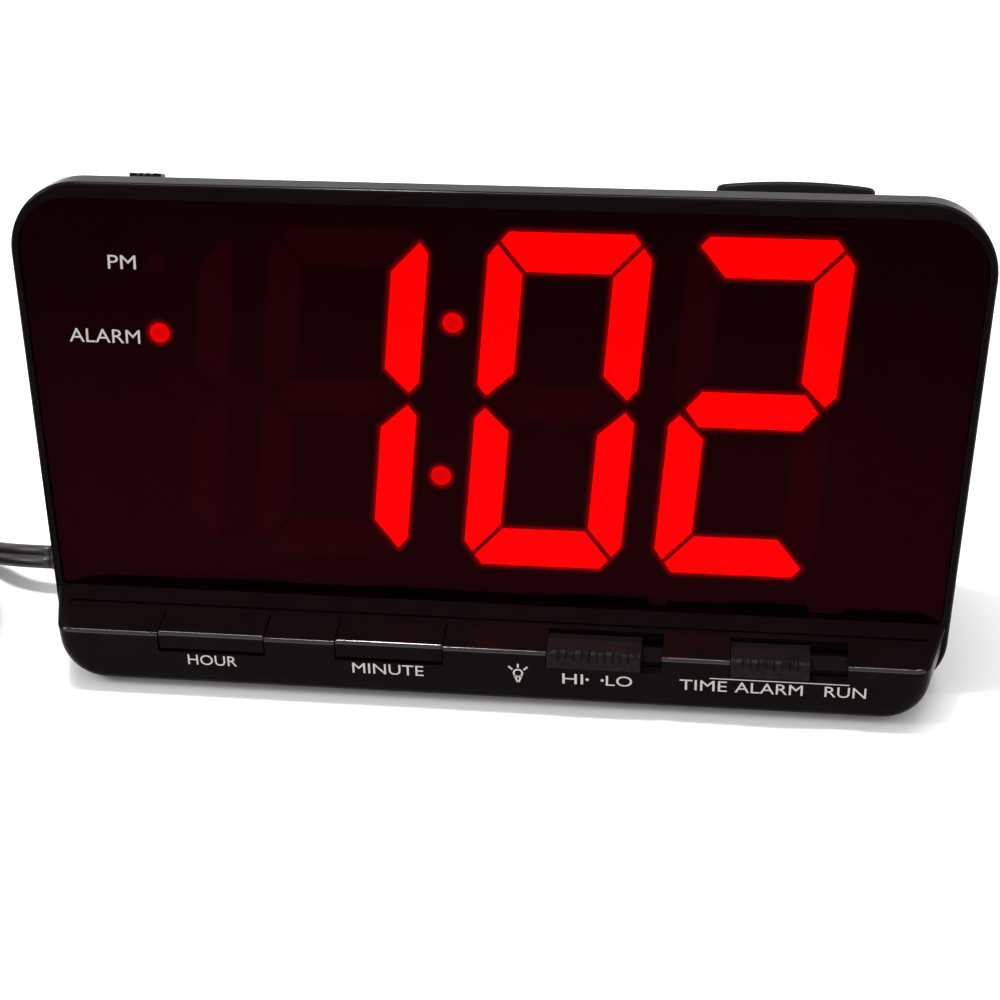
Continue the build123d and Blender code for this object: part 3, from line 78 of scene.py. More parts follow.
# %% Camera
mm = 0.001
lens_lean = math.radians(10)
lens_right = Vector((1, 0, 0))
lens_up = Vector((0, math.sin(lens_lean), math.cos(lens_lean)))
lens_out = lens_right.cross(lens_up)
azimuth, elevation = math.radians(6.82), math.radians(19.07)
level = math.sin(azimuth) * lens_right + math.cos(azimuth) * lens_out
back = math.cos(elevation) * level + math.sin(elevation) * lens_up
right = lens_up.cross(back).normalized()
camera_data = bpy.data.cameras.new("camera")
camera = bpy.data.objects.new("camera", camera_data)
scene.collection.objects.link(camera)
scene.camera = camera
camera_data.sensor_width = 36.0
camera_data.lens = 75.14
camera_data.shift_y = -0.05
camera_data.clip_start, camera_data.clip_end = 0.01, 20.0
camera.location = (0.0534, -0.4078, 0.2757)
camera.rotation_mode = "QUATERNION"
camera.rotation_quaternion = Matrix((right, back.cross(right), back)).transposed().to_quaternion()
print("camera at", [round(value, 3) for value in camera.location])

# %% [markdown]
# ## Grids of points
# Every new shape is a grid of points that a formula gives, one row for each step along the piece. One
# helper turns such a grid into a mesh. The faces only join neighbours in the grid, so their corner
# numbers are worked out for the whole grid at once, which is faster and shorter than face by face. Which
# way a face looks depends on how the grid runs, so Blender turns them all outwards at the end.

# %% A mesh from a grid of points
def skin(name, grid, closed_ends=True):
    """Mesh of a grid: point (i, j) joins (i + 1, j) and (i, j + 1), and each row closes on itself. Closed
    ends get one face each. At the end all faces are turned outwards."""
    steps, across = grid.shape[:2]
    row, column = np.meshgrid(np.arange(steps - 1), np.arange(across), indexing="ij")
    after = (column + 1) % across
    here, beyond = row * across, (row + 1) * across
    corners = (here + column, here + after, beyond + after, beyond + column)
    faces = np.stack(corners, axis=-1).reshape(-1, 4).tolist()
    if closed_ends:
        faces.append(list(range(across))[::-1])
        faces.append(list(range((steps - 1) * across, steps * across)))
    mesh = bpy.data.meshes.new(name)
    mesh.from_pydata(grid.reshape(-1, 3).tolist(), [], faces)
    mesh.polygons.foreach_set("use_smooth", np.ones(len(mesh.polygons), bool))
    work = bmesh.new()
    work.from_mesh(mesh)
    bmesh.ops.recalc_face_normals(work, faces=work.faces)
    work.to_mesh(mesh)
    work.free()
    made = bpy.data.objects.new(name, mesh)
    scene.collection.objects.link(made)
    print(name, "points", steps * across)
    return made


# %% [markdown]
# ## Mains lead: the route
# The lead is flat twin lead, limp and nearly 6 mm wide, and 1.5 m long from the clock to the plug. It
# leaves the left side of the housing, sinks to the table and goes on out of the picture. What the
# photograph doesn't show is put away there in a tied coil of seven turns in two layers, with the plug on
# top. A smooth spline runs near a few points, as a limp lead does. The coil's points lie on a spiral whose
# radius shrinks turn by turn, climbs a layer near the middle and grows again. The spline cuts the corners
# between them, so they are set a little further out than the turns that they make.

# %% Points that the lead follows
exit_y, exit_z, relief_end = 8.0, 8.6, 110.4
free_points = [
    (-relief_end, exit_y, exit_z), (-118.4, exit_y, exit_z), (-129.0, 15.5, 4.3), (-142.0, 20.0, 3.0),
    (-155.2, 20.0, 3.0),
]
coil_x, coil_y = -160.0, -20.0
low_layer, high_layer = 3.0, 8.3
half_turn_radii = np.array([
    40, 37.35, 34.7, 32.05, 29.4, 26.75, 21.45, 18.8, 24.1, 26.75, 29.4, 32.05, 34.7, 37.35, 40,
])
half_turns = len(half_turn_radii) - 1
points_in_half_turn = 8
climbing_half_turn = 6
corner_cut = 0.25 * math.cos(math.pi / points_in_half_turn) + 0.75

turn = np.arange(half_turns * points_in_half_turn + 1) * math.pi / points_in_half_turn
half = np.minimum((turn / math.pi + 1e-9).astype(int), half_turns - 1)
swing = np.cos(turn - half * math.pi)
radius = (half_turn_radii[half] + half_turn_radii[half + 1]) / 2
radius += (half_turn_radii[half] - half_turn_radii[half + 1]) / 2 * swing
radius /= corner_cut
climb = np.where(half < climbing_half_turn, 0.0, np.where(half > climbing_half_turn, 1.0, (1 - swing) / 2))
height = low_layer + (high_layer - low_layer) * climb
coil_points = np.stack([coil_x - radius * np.sin(turn), coil_y + radius * np.cos(turn), height], axis=1)

plug_run = np.array([
    (-4.8, 40, 0), (-13.5, 40, 0), (-25.5, 34.5, 2.6), (-34, 23, 5), (-36.5, 9, 5.7),
    (-34.5, -5, 5.5), (-28, -18, 5.9), (-17.5, -27.5, 6.9), (-6.5, -31.5, 7.7),
]) + (coil_x, coil_y, high_layer)
route = np.concatenate([np.array(free_points), coil_points, plug_run]) * mm
print("points on the lead's route:", len(route))

# %% A smooth spline through the route
lead_curve = bpy.data.curves.new("lead_route", "CURVE")
lead_curve.dimensions = "3D"
lead_curve.resolution_u = 6
spline = lead_curve.splines.new("NURBS")
spline.points.add(len(route) - 1)
spline.points.foreach_set("co", np.hstack([route, np.ones((len(route), 1))]).ravel())
spline.order_u = 3
spline.use_endpoint_u = True
lead_object = bpy.data.objects.new("lead_route", lead_curve)
scene.collection.objects.link(lead_object)
bpy.context.view_layer.update()
sampled = bpy.data.meshes.new_from_object(lead_object)
lead_path = np.empty(len(sampled.vertices) * 3)
sampled.vertices.foreach_get("co", lead_path)
lead_path = lead_path.reshape(-1, 3)
bpy.data.objects.remove(lead_object)
print("length of the lead:", round(float(np.linalg.norm(np.diff(lead_path, axis=0), axis=1).sum()), 3), "m")

# %% [markdown]
# ## Mains lead: the two cores
# Flat twin lead is two round cores side by side, joined by a thin web that leaves a sharp groove. Its
# outline is therefore two arcs of circle. The outline is carried along the route, and it leans over by
# fifty degrees, so that both cores show from the front as they do in the photograph.

# %% The twin outline carried along the route
core_radius, core_offset = 1.5 * mm, 1.35 * mm
lean = math.radians(50)


def twin_outline(count):
    """Two arcs of one radius, whose middles lie either side of zero, each as far round as the groove."""
    reach = math.acos(-core_offset / core_radius)
    angle = np.linspace(-reach, reach, count, endpoint=False)
    right = np.stack([core_offset + core_radius * np.cos(angle), core_radius * np.sin(angle)], axis=1)
    return np.concatenate([right, -right])


def carry(outline, path, tilt):
    """Each point of the outline, turned by the tilt, is added to each point of the path along the path's
    own sideways and upward directions. Sideways is the path's direction crossed with straight up."""
    ahead = np.gradient(path, axis=0)
    ahead /= np.linalg.norm(ahead, axis=1, keepdims=True)
    sideways = np.cross(ahead, (0.0, 0.0, 1.0))
    sideways /= np.linalg.norm(sideways, axis=1, keepdims=True)
    upward = np.cross(sideways, ahead)
    across = outline[:, 0] * math.cos(tilt) - outline[:, 1] * math.sin(tilt)
    along = outline[:, 0] * math.sin(tilt) + outline[:, 1] * math.cos(tilt)
    return path[:, None] + across[None, :, None] * sideways[:, None] + along[None, :, None] * upward[:, None]


mains_lead = skin("mains_lead", carry(twin_outline(14), lead_path, lean))

# %% [markdown]
# ## Plug and strain relief
# Both are moulded in soft black plastic round the lead. The plug is a flat bar that swells from the lead
# to its face, with grooves for the fingers, so its outline is a rounded rectangle whose sides change
# along its length. The relief is a cone with grooves cut round it, which let it bend.

# %% Plug body
plug_start = route[-1]
plug_way = np.array((11.0, -4.0, 0.8)) / math.hypot(11.0, 4.0, 0.8)
plug_side = np.array((-plug_way[1], plug_way[0], 0.0)) / math.hypot(plug_way[0], plug_way[1])
plug_up = np.cross(plug_way, plug_side)
plug_length, face_start, face_rounding, face_inset = 25, 24, 1.25, 0.14
grip_start, grip_end, grip_depth = 11, 21, 0.45
corner_power = 0.42


def ease(start, end, value):
    """Zero before start and one after end, with a smooth S between them."""
    t = np.clip((value - start) / (end - start), 0, 1)
    return t * t * (3 - 2 * t)


def plug_grid(steps=70, across=48):
    """Rounded rectangles along the plug's axis: the sine and cosine of the angle, each to a power that
    squares the corners. Half the width grows from 3.2 to 10 mm and half the thickness from 2.4 to 5 mm,
    the last 1 mm draws in like the rim of an ellipse, and a squared sine cuts five grooves of 2 mm."""
    along = np.concatenate([np.linspace(0, face_start, steps - 8), np.linspace(24.15, plug_length, 8)])
    past_face = ((along - face_start) / face_rounding).clip(0)
    drawn_in = np.sqrt(np.clip(1 - past_face**2, 0, 1)) * face_inset + (1 - face_inset)
    in_grip = (along > grip_start) & (along < grip_end)
    groove = np.where(in_grip, np.sin((along - grip_start) * math.pi / 2) ** 2, 0.0)
    wide = (3.2 + 6.8 * ease(1, 10, along)) * drawn_in
    thick = (2.4 + 2.6 * ease(0, 9, along) - grip_depth * groove) * drawn_in
    angle = np.linspace(0, 2 * math.pi, across, endpoint=False)
    x = np.sign(np.cos(angle)) * np.abs(np.cos(angle)) ** corner_power
    y = np.sign(np.sin(angle)) * np.abs(np.sin(angle)) ** corner_power
    points = plug_start + along[:, None, None] * mm * plug_way
    sideways = (wide[:, None] * x)[..., None] * mm * plug_side
    return points + sideways + (thick[:, None] * y)[..., None] * mm * plug_up


plug_shell = skin("plug_shell", plug_grid())

# %% Strain relief
neck_start, flange_start, cone_start, cone_length = 90.4, 99.8, 101.0, 9.4
neck_radius, flange_radius, cone_radius, cone_taper = 3.3, 5.0, 4.0, 1.0
grooves_start, grooves_end, first_groove, groove_pitch, groove_depth = 102.6, 109.6, 103.2, 1.7, 0.42


def relief_grid(steps=150, across=48):
    """A radius for each place along the lead: a neck in the bore, a flange, then a cone from 4 mm to
    3 mm that a cosine grooves every 1.7 mm."""
    along = np.linspace(neck_start, relief_end, steps)
    cone = cone_radius - cone_taper * (along - cone_start) / cone_length
    grooved = (along > grooves_start) & (along < grooves_end)
    wave = np.cos((along - first_groove) * 2 * math.pi / groove_pitch)
    cone -= groove_depth * np.clip(wave, 0, 1) * grooved
    size = np.where(along < flange_start, neck_radius, np.where(along < cone_start, flange_radius, cone))
    angle = np.linspace(0, 2 * math.pi, across, endpoint=False)
    y = exit_y + size[:, None] * np.cos(angle)
    z = exit_z + size[:, None] * np.sin(angle)
    return np.stack([-np.broadcast_to(along[:, None], y.shape), y, z], axis=-1) * mm


relief_cone = skin("relief_cone", relief_grid())

# %% The lead rides on the clock
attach(mains_lead, "clock")
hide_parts("power_cord", "cord_coil", "plug_lead")
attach(plug_shell, "clock")
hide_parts("plug_body")
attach(relief_cone, "clock")
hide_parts("strain_relief")
print("lead declared")

# %% [markdown]
# ## Halo round the lit bars
# In the photograph each lit bar has a faint red halo of light. Here that halo is a painted glow on a
# film a tenth of a millimetre before the bars, which is no lamp. It is a fine flat grid, and each point
# carries a number that falls from one at the nearest lit bar's outline to zero two millimetres away. The
# film glows as the bars do, and the number sets how much of the painted glow shows.

# %% Outlines of the lit bars
lens_foot, lens_recess, housing_face = Vector((0, -16.0, 16.7)), 0.8, 3.3


def front_outlines(*names):
    """Ends of each edge round the front faces of those solids, as places across and up the lens. Such
    an edge belongs to one triangle that faces out along the lens's direction, and not to two."""
    found = []
    for name in names:
        mesh = nodes[name].data
        mesh.calc_loop_triangles()
        points, sides = np.empty(len(mesh.vertices) * 3), np.empty(len(mesh.loop_triangles) * 3, int)
        facing = np.empty(len(sides))
        mesh.vertices.foreach_get("co", points)
        mesh.loop_triangles.foreach_get("vertices", sides)
        mesh.loop_triangles.foreach_get("normal", facing)
        front = sides.reshape(-1, 3)[facing.reshape(-1, 3) @ np.array(lens_out) > 0.99]
        points = points.reshape(-1, 3) / mm - np.array(lens_foot)
        flat = np.stack([points[:, 0], points @ np.array(lens_up)], axis=1)
        corners, welded = np.unique(flat.round(3), axis=0, return_inverse=True)
        triangles = welded.ravel()[front]
        pairs = np.sort(triangles[:, [0, 1, 1, 2, 2, 0]].reshape(-1, 2), axis=1)
        edges, uses = np.unique(pairs, axis=0, return_counts=True)
        found.append(corners[edges[uses == 1]])
    print("outline edges", [len(part) for part in found])
    return np.concatenate(found)


# %% A film that carries the halo
def painted_halo_film(name, edges, behind, reach, step):
    """Flat grid over the display. A point's glow is one less its distance to the nearest edge over the
    reach, and squares without any glow are left out."""
    low, high = edges.min((0, 1)) - reach, edges.max((0, 1)) + reach
    across, up = (np.arange(low[k], high[k] + step, step) for k in (0, 1))
    flat = np.stack(np.meshgrid(across, up, indexing="ij"), axis=-1)
    nearest = np.full(flat.shape[:2], reach)
    for start, end in edges:
        way = end - start
        share = np.clip((flat - start) @ way / max(way @ way, 1e-9), 0, 1)
        nearest = np.minimum(nearest, np.linalg.norm(flat - start - share[..., None] * way, axis=-1))
    glow = 1 - nearest / reach
    row, column = np.nonzero((glow[:-1, :-1] + glow[1:, 1:] + glow[1:, :-1] + glow[:-1, 1:]) > 0)
    corner = row * len(up) + column
    faces = np.stack([corner, corner + len(up), corner + len(up) + 1, corner + 1], axis=1)
    used, packed = np.unique(faces, return_inverse=True)
    plane = flat.reshape(-1, 2)[used]
    foot = np.array(lens_foot - behind * lens_out)
    points = foot + plane[:, :1] * np.array(lens_right) + plane[:, 1:] * np.array(lens_up)
    mesh = bpy.data.meshes.new(name)
    mesh.from_pydata((points * mm).tolist(), [], packed.reshape(-1, 4).tolist())
    carried = mesh.attributes.new("glow", "FLOAT", "POINT")
    carried.data.foreach_set("value", glow.ravel()[used].astype(np.float32))
    made = bpy.data.objects.new(name, mesh)
    scene.collection.objects.link(made)
    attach(made, "clock")
    print(name, "faces", len(mesh.polygons))
    return made


lit_edges = front_outlines("digit_hours", "digit_tens", "digit_minutes", "colon_dots", "alarm_dot")
# The film carries the painted glow of the halo round the lit bars.
halo = painted_halo_film("bar_painted_halo", lit_edges, behind=housing_face - 0.1, reach=2.0, step=0.4)

# %% [markdown]
# ## Printed words
# The words are silver ink, printed flat on the lens and on the lip. Blender's own sans letters are made
# a mesh first. Then they are stretched to the measured width and height and laid on their plane, two
# thousandths of a millimetre above the plastic, with a little thickness so that they are closed solids.

# %% Planes that are printed on
lip_front = 32.0
lip_print = {"origin": (0, -lip_front, 0), "right": lens_right, "up": (0, 0, 1)}
lens_print = {"origin": lens_foot - lens_recess * lens_out, "right": lens_right, "up": lens_up}
ink_gap, ink_thickness = 0.002, 0.03


def lay_on(plane, x, y, lift):
    """Point of a printed plane: its origin, plus x to the right, y up and lift outwards, in metres."""
    origin, right, up = (np.array(plane[key], float) for key in ("origin", "right", "up"))
    return (origin + x[:, None] * right + y[:, None] * up + lift[:, None] * np.cross(right, up)) * mm


def printed(name, words, plane, centre_x, centre_y, width, tall):
    """A word as a thin mesh, centred on that place of the plane, of that width and height in mm."""
    text = bpy.data.curves.new(name, "FONT")
    text.body = words
    text.extrude = 0.5
    text.resolution_u = 3
    holder = bpy.data.objects.new(name, text)
    scene.collection.objects.link(holder)
    bpy.context.view_layer.update()
    mesh = bpy.data.meshes.new_from_object(holder)
    bpy.data.objects.remove(holder)
    points = np.empty(len(mesh.vertices) * 3)
    mesh.vertices.foreach_get("co", points)
    points = points.reshape(-1, 3)
    low, high = points.min(0), points.max(0)
    x = centre_x + ((points[:, 0] - low[0]) / (high[0] - low[0]) - 0.5) * width
    y = centre_y + ((points[:, 1] - low[1]) / (high[1] - low[1]) - 0.5) * tall
    lift = (points[:, 2] + 0.5) * ink_thickness + ink_gap
    mesh.vertices.foreach_set("co", lay_on(plane, x, y, lift).ravel())
    made = bpy.data.objects.new(name, mesh)
    scene.collection.objects.link(made)
    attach(made, "clock")
    print(name, "faces", len(mesh.polygons))
    return made


# %% Words on the lip and on the lens
word_middle, lip_letters, lens_letters = 8.8, 2.7, 3.1
lip_words = {
    "word_hour": ("HOUR", -61.4, 11.2),
    "word_minute": ("MINUTE", -21.5, 16.0),
    "word_hi": ("HI", 19.7, 4.6),
    "word_lo": ("LO", 29.9, 5.8),
    "word_time": ("TIME", 48.3, 10.3),
    "word_alarm_set": ("ALARM", 62.5, 14.7),
    "word_run": ("RUN", 79.0, 8.9),
}
words = [
    printed(name, text, lip_print, centre_x, word_middle, width, lip_letters)
    for name, (text, centre_x, width) in lip_words.items()
]
words.append(printed("word_pm", "PM", lens_print, -81.5, 76.8, 6.3, lens_letters))
words.append(printed("word_alarm", "ALARM", lens_print, -86.4, 59.9, 16.1, lens_letters))

# %% [markdown]
# ## Printed signs
# Next to the words are two round dots, a thin line that gathers the three positions of the right-hand
# switch, and a small lamp sign beside the dimmer: a ring with a drop below it and three rays above. They
# are bands of even width along a line, so one helper draws them all. A dot is a band round a circle, as
# wide as the circle, so that it leaves no hole.

# %% Bands along a line
def band(path, width, closed=False):
    """Left and right edges of a line: each point moved by half the width square to the line's direction."""
    path = np.asarray(path, float)
    ahead = np.roll(path, -1, 0) - np.roll(path, 1, 0) if closed else np.gradient(path, axis=0)
    ahead /= np.linalg.norm(ahead, axis=1, keepdims=True)
    square = np.stack([-ahead[:, 1], ahead[:, 0]], axis=1) * width / 2
    if closed:
        path, square = np.vstack([path, path[:1]]), np.vstack([square, square[:1]])
    return path + square, path - square


def printed_band(name, plane, path, width, closed=False):
    """A band as a thin closed solid on a printed plane."""
    left, right = band(path, width, closed)
    low, high = np.full(len(left), ink_gap), np.full(len(left), ink_gap + ink_thickness)
    corners = ((left, low), (right, low), (right, high), (left, high))
    ring = [lay_on(plane, edge[:, 0], edge[:, 1], lift) for edge, lift in corners]
    made = skin(name, np.stack(ring, axis=1), closed_ends=not closed)
    made.data.polygons.foreach_set("use_smooth", np.zeros(len(made.data.polygons), bool))
    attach(made, "clock")
    return made


def circle(x, y, size):
    """24 points on a circle round x and y: the cosine and sine of even steps of angle."""
    angle = np.linspace(0, 2 * math.pi, 24, endpoint=False)
    return np.stack([x + size * np.cos(angle), y + size * np.sin(angle)], axis=1)


# %% Dots, line and lamp sign
dot_radius, line_y, line_width = 0.18, 10.8, 0.22
lamp_x, lamp_y, lamp_radius, stroke_width = 7.6, 9.6, 0.95, 0.42
line = [(x, line_y) for x in (49.6, 60.0, 70.0, 79.8)]
signs = [
    printed_band("dot_hi", lip_print, circle(22.9, word_middle, dot_radius), 2 * dot_radius, closed=True),
    printed_band("dot_lo", lip_print, circle(26.2, word_middle, dot_radius), 2 * dot_radius, closed=True),
    printed_band("switch_line", lip_print, line, line_width),
    printed_band("lamp_ring", lip_print, circle(lamp_x, lamp_y, lamp_radius), stroke_width, closed=True),
]
lamp_strokes = {
    "lamp_drop_left": [(-0.8, -0.6), (-0.1, -2.4)],
    "lamp_drop_right": [(0.8, -0.6), (0.1, -2.4)],
    "lamp_ray_middle": [(0.0, 1.5), (0.0, 2.5)],
    "lamp_ray_left": [(-1.25, 0.9), (-2.1, 1.75)],
    "lamp_ray_right": [(1.25, 0.9), (2.1, 1.75)],
}
for name, stroke in lamp_strokes.items():
    signs.append(printed_band(name, lip_print, np.array(stroke) + (lamp_x, lamp_y), stroke_width))

# %% [markdown]
# ## Sums on shader sockets
# A finish is a sum of patterns: a roughness that rises where fingers have been, or a colour that drifts
# a little. Written with nodes alone, such sums are long. A small class wraps one socket and stands in for
# the number that it carries, so that a finish can be written as a sum in Python.

# %% A socket that can be added and multiplied
class Wire:
    """One output of a shader node. Sums and products of wires add Math nodes to the material."""

    def __init__(self, tree, socket):
        self.tree, self.socket = tree, socket

    def node(self, kind, settings, sockets=None, output=0):
        """Adds a node of that kind: its settings first, then values or wires on its sockets."""
        made = self.tree.nodes.new(kind)
        for name, value in settings.items():
            setattr(made, name, value)
        for name, value in (sockets or {}).items():
            if isinstance(value, Wire):
                self.tree.links.new(value.socket, made.inputs[name])
            else:
                made.inputs[name].default_value = value
        return Wire(self.tree, made.outputs[output])

    def maths(self, operation, first, second):
        """A Math node: the operation on two numbers, each a wire or a plain value."""
        return self.node("ShaderNodeMath", {"operation": operation}, {0: first, 1: second})

    def __add__(self, other):
        return self.maths("ADD", self, other)

    def __sub__(self, other):
        return self.maths("SUBTRACT", self, other)

    def __rsub__(self, other):
        return self.maths("SUBTRACT", other, self)

    def __mul__(self, other):
        return self.maths("MULTIPLY", self, other)

    def __pow__(self, other):
        return self.maths("POWER", self, other)

    __radd__, __rmul__ = __add__, __mul__

    def noise(self, size_mm, detail=2.0, stretch=(1, 1, 1)):
        """Soft noise from 0 to 1 whose lumps are about that size, read at this place. A stretch below 1
        draws the lumps out along its axis."""
        place = self.node("ShaderNodeMapping", {}, {"Vector": self, "Scale": stretch})
        sockets = {"Vector": place, "Scale": 1000.0 / size_mm, "Detail": detail}
        return self.node("ShaderNodeTexNoise", {}, sockets)

    def between(self, dark, light):
        """A colour that this wire mixes from dark at 0 to light at 1."""
        colours = {0: self, 6: (*dark, 1.0), 7: (*light, 1.0)}
        return self.node("ShaderNodeMix", {"data_type": "RGBA"}, colours, output=2)

    def along(self, direction):
        """How far this place lies from the origin along a direction, in metres."""
        sockets = {0: self, 1: tuple(direction)}
        return self.node("ShaderNodeVectorMath", {"operation": "DOT_PRODUCT"}, sockets, output=1)

    def above(self, edge, soft):
        """A mask: 0 below the edge and 1 above it, with a soft step between."""
        sockets = {"Value": self, "From Min": edge - soft, "From Max": edge + soft}
        return self.node("ShaderNodeMapRange", {"interpolation_type": "SMOOTHSTEP"}, sockets)


def finish(name, **constants):
    """A new material, its shader with those constants set, and the place on the piece as a wire."""
    material = bpy.data.materials.new(name)
    material.use_nodes = True
    tree = material.node_tree
    shader = tree.nodes["Principled BSDF"]
    for key, value in constants.items():
        shader.inputs[key.replace("_", " ")].default_value = value
    return material, shader, Wire(tree, tree.nodes.new("ShaderNodeTexCoord").outputs["Object"])


def feed(shader, height=None, depth_mm=0.01, **wires):
    """Joins wires to the shader's sockets, and a height to its normal through a bump of that depth."""
    for key, wire in wires.items():
        wire.tree.links.new(wire.socket, shader.inputs[key.replace("_", " ")])
    if height:
        bumped = height.node("ShaderNodeBump", {}, {"Height": height, "Distance": depth_mm * mm})
        height.tree.links.new(bumped.socket, shader.inputs["Normal"])


def dress(material, *pieces):
    """Gives a finish to solids by name and to new pieces."""
    for piece in pieces:
        target = nodes[piece] if isinstance(piece, str) else piece
        target.data.materials.clear()
        target.data.materials.append(material)
    print(material.name, "on", len(pieces))


# %% [markdown]
# ## Black plastic
# The front is moulded in a polished tool, so it is glossy, with faint ripples and a few smudges that
# dull it. The rear cover comes from a tool with a fine spark-eroded grain, which scatters light, and the
# snooze bar is satin. Fingers have worn the two knobs on the lip in spots, which glint. All are nearly the
# same black, and roughness, bump and coat set them apart. The outer edges have been rubbed bright, and
# there a clear coat gives the thin line of light that the photograph shows.

# %% Gloss, grain and satin
lip_top, key_top, knob_top = 15.3, 15.6, 15.9
rim_back, rim_front = -1.1, -0.1
gloss_colours = (0.0025, 0.0012, 0.0013), (0.0052, 0.0028, 0.003)


def near_lip_edge(place, top):
    """A mask over the lip's front edge, where a piece rises to that top in mm: the last 0.8 mm forward
    times the last 0.7 mm up."""
    front = place.along((0, -1, 0)).above((lip_front - 0.8) * mm, 0.1 * mm)
    return front * place.along((0, 0, 1)).above((top - 0.7) * mm, 0.1 * mm)


gloss_black, shader, place = finish("gloss_black_moulding", Specular_IOR_Level=0.02, Coat_Roughness=0.1)
smudge = place.noise(22, 4).above(0.56, 0.14)
out = place.along(lens_out) - lens_foot.dot(lens_out) * mm
rim_edge = out.above(rim_back * mm, 0.1 * mm) * (1 - out.above(rim_front * mm, 0.05 * mm))
feed(
    shader, height=place.noise(1.2, 2), depth_mm=0.004,
    Base_Color=place.noise(9).between(*gloss_colours),
    Roughness=0.1 + 0.1 * smudge + 0.05 * place.noise(0.6),
    Coat_Weight=0.8 * near_lip_edge(place, lip_top) + 0.13 * rim_edge,
)
dress(gloss_black, "front_bezel")

key_black, shader, place = finish("gloss_black_keys", Specular_IOR_Level=0.02, Coat_Roughness=0.1)
feed(
    shader, height=place.noise(1.2, 2), depth_mm=0.004,
    Base_Color=place.noise(5).between(*gloss_colours),
    Roughness=0.12 + 0.1 * place.noise(3, 3), Coat_Weight=near_lip_edge(place, key_top),
)
dress(key_black, "hour_button", "minute_button")

grained_black, shader, place = finish("grained_black_cover", Specular_IOR_Level=0.1)
grain = place.noise(0.55, 3)
feed(
    shader, height=grain, depth_mm=0.09,
    Base_Color=place.noise(14).between((0.007, 0.0065, 0.007), (0.013, 0.012, 0.0125)),
    Roughness=0.42 + 0.2 * grain,
)
dress(grained_black, "rear_cover", "battery_door")

satin_black, shader, place = finish("satin_black_snooze", Specular_IOR_Level=0.06)
feed(
    shader, height=place.noise(0.5, 2), depth_mm=0.008,
    Base_Color=place.noise(5).between((0.004, 0.0035, 0.004), (0.009, 0.008, 0.009)),
    Roughness=0.26 + 0.12 * place.noise(6, 3),
)
dress(satin_black, "snooze_button", "alarm_knob")

worn_black, shader, place = finish("worn_black_knobs", Specular_IOR_Level=0.04, Coat_Roughness=0.16)
worn_spots = place.noise(1.4, 2).above(0.5, 0.1)
feed(
    shader, height=place.noise(0.6, 2), depth_mm=0.01,
    Base_Color=place.noise(5).between((0.004, 0.003, 0.0032), (0.008, 0.006, 0.0065)),
    Roughness=0.24 + 0.12 * place.noise(3, 3),
    Coat_Weight=(0.06 + 0.6 * near_lip_edge(place, knob_top)) * worn_spots,
)
dress(worn_black, "dimmer_knob", "mode_knob")

# %% [markdown]
# ## Lens and display
# The lens is a sheet of dark red acrylic. It lets only red through, so the lit bars are pure red and the
# rest of the display is nearly black. A transmitting shader with a dark red colour does just that. The
# bars are red diffusers lit from behind, so they glow evenly. A bar that isn't lit carries a faint painted
# red glow, so that it is barely seen.
# Each dot has a single small lamp behind it, so the dots are a little dimmer than the bars.

# %% Red lens
red_lens, shader, place = finish(
    "dark_red_lens", Transmission_Weight=1.0, IOR=1.16, Specular_Tint=(1.0, 0.1, 0.2, 1.0),
)
feed(
    shader,
    Base_Color=place.noise(40).between((0.15, 0.0, 0.002), (0.17, 0.0, 0.003)),
    Roughness=0.015 + 0.03 * place.noise(30, 4).above(0.6, 0.1),
)
dress(red_lens, "display_lens")

# %% Lit bars, dark bars with a faint painted glow, and the black housing
diffuser_colours = (0.5, 0.05, 0.05), (0.6, 0.06, 0.06)
glow_red, shader, place = finish("lit_bar", Emission_Strength=9.0, Roughness=0.5)
glow = place.noise(7, 1).between((1.0, 0.0, 0.0), (1.0, 0.008, 0.006))
feed(shader, Base_Color=place.noise(3).between(*diffuser_colours), Emission_Color=glow)
dress(glow_red, "digit_hours", "digit_tens", "digit_minutes", "segment_lamps")

dot_red, shader, place = finish("lit_dot", Emission_Strength=4.3, Roughness=0.5)
glow = place.noise(3, 1).between((1.0, 0.0, 0.0), (1.0, 0.02, 0.03))
feed(shader, Base_Color=place.noise(2).between(*diffuser_colours), Emission_Color=glow)
dress(dot_red, "colon_dots", "alarm_dot")

# The halo film's red emission is a painted glow, and its glow attribute sets how much of it shows.
bar_painted_halo, shader, place = finish("bar_halo_film", Emission_Strength=9.0, Emission_Color=(1.0, 0.0, 0.0, 1.0))
glow = place.node("ShaderNodeAttribute", {"attribute_name": "glow"}, output=2)
feed(
    shader, Alpha=0.2 * glow**3.5,
    Base_Color=place.noise(3).between((0.01, 0.0, 0.0), (0.02, 0.0, 0.0)),
    Roughness=0.5 + 0.1 * place.noise(2),
)
dress(bar_painted_halo, halo)

# The unlit bars' faint red emission is a painted glow, so that they are barely seen.
dark_bar_painted_glow, shader, place = finish("unlit_bar_painted_glow", Emission_Strength=0.012)
feed(
    shader,
    Base_Color=place.noise(5).between((0.10, 0.02, 0.02), (0.14, 0.03, 0.03)),
    Roughness=0.45 + 0.1 * place.noise(1),
    Emission_Color=place.noise(20, 1).between((0.7, 0, 0.02), (1, 0, 0.03)),
)
dress(dark_bar_painted_glow, "unlit_segments", "pm_dot")

well_black, shader, place = finish("display_housing_black", Specular_IOR_Level=0.2)
feed(
    shader, height=place.noise(0.3), depth_mm=0.02,
    Base_Color=place.noise(12).between((0.006, 0.004, 0.004), (0.012, 0.008, 0.008)),
    Roughness=0.55 + 0.15 * place.noise(2),
)
dress(well_black, "display_housing")

# %% [markdown]
# ## Printed ink
# The ink is silver with fine flakes in it, laid on by screen printing, so its edges are sharp and its
# face is slightly uneven. A little metal in the shader gives the sheen.

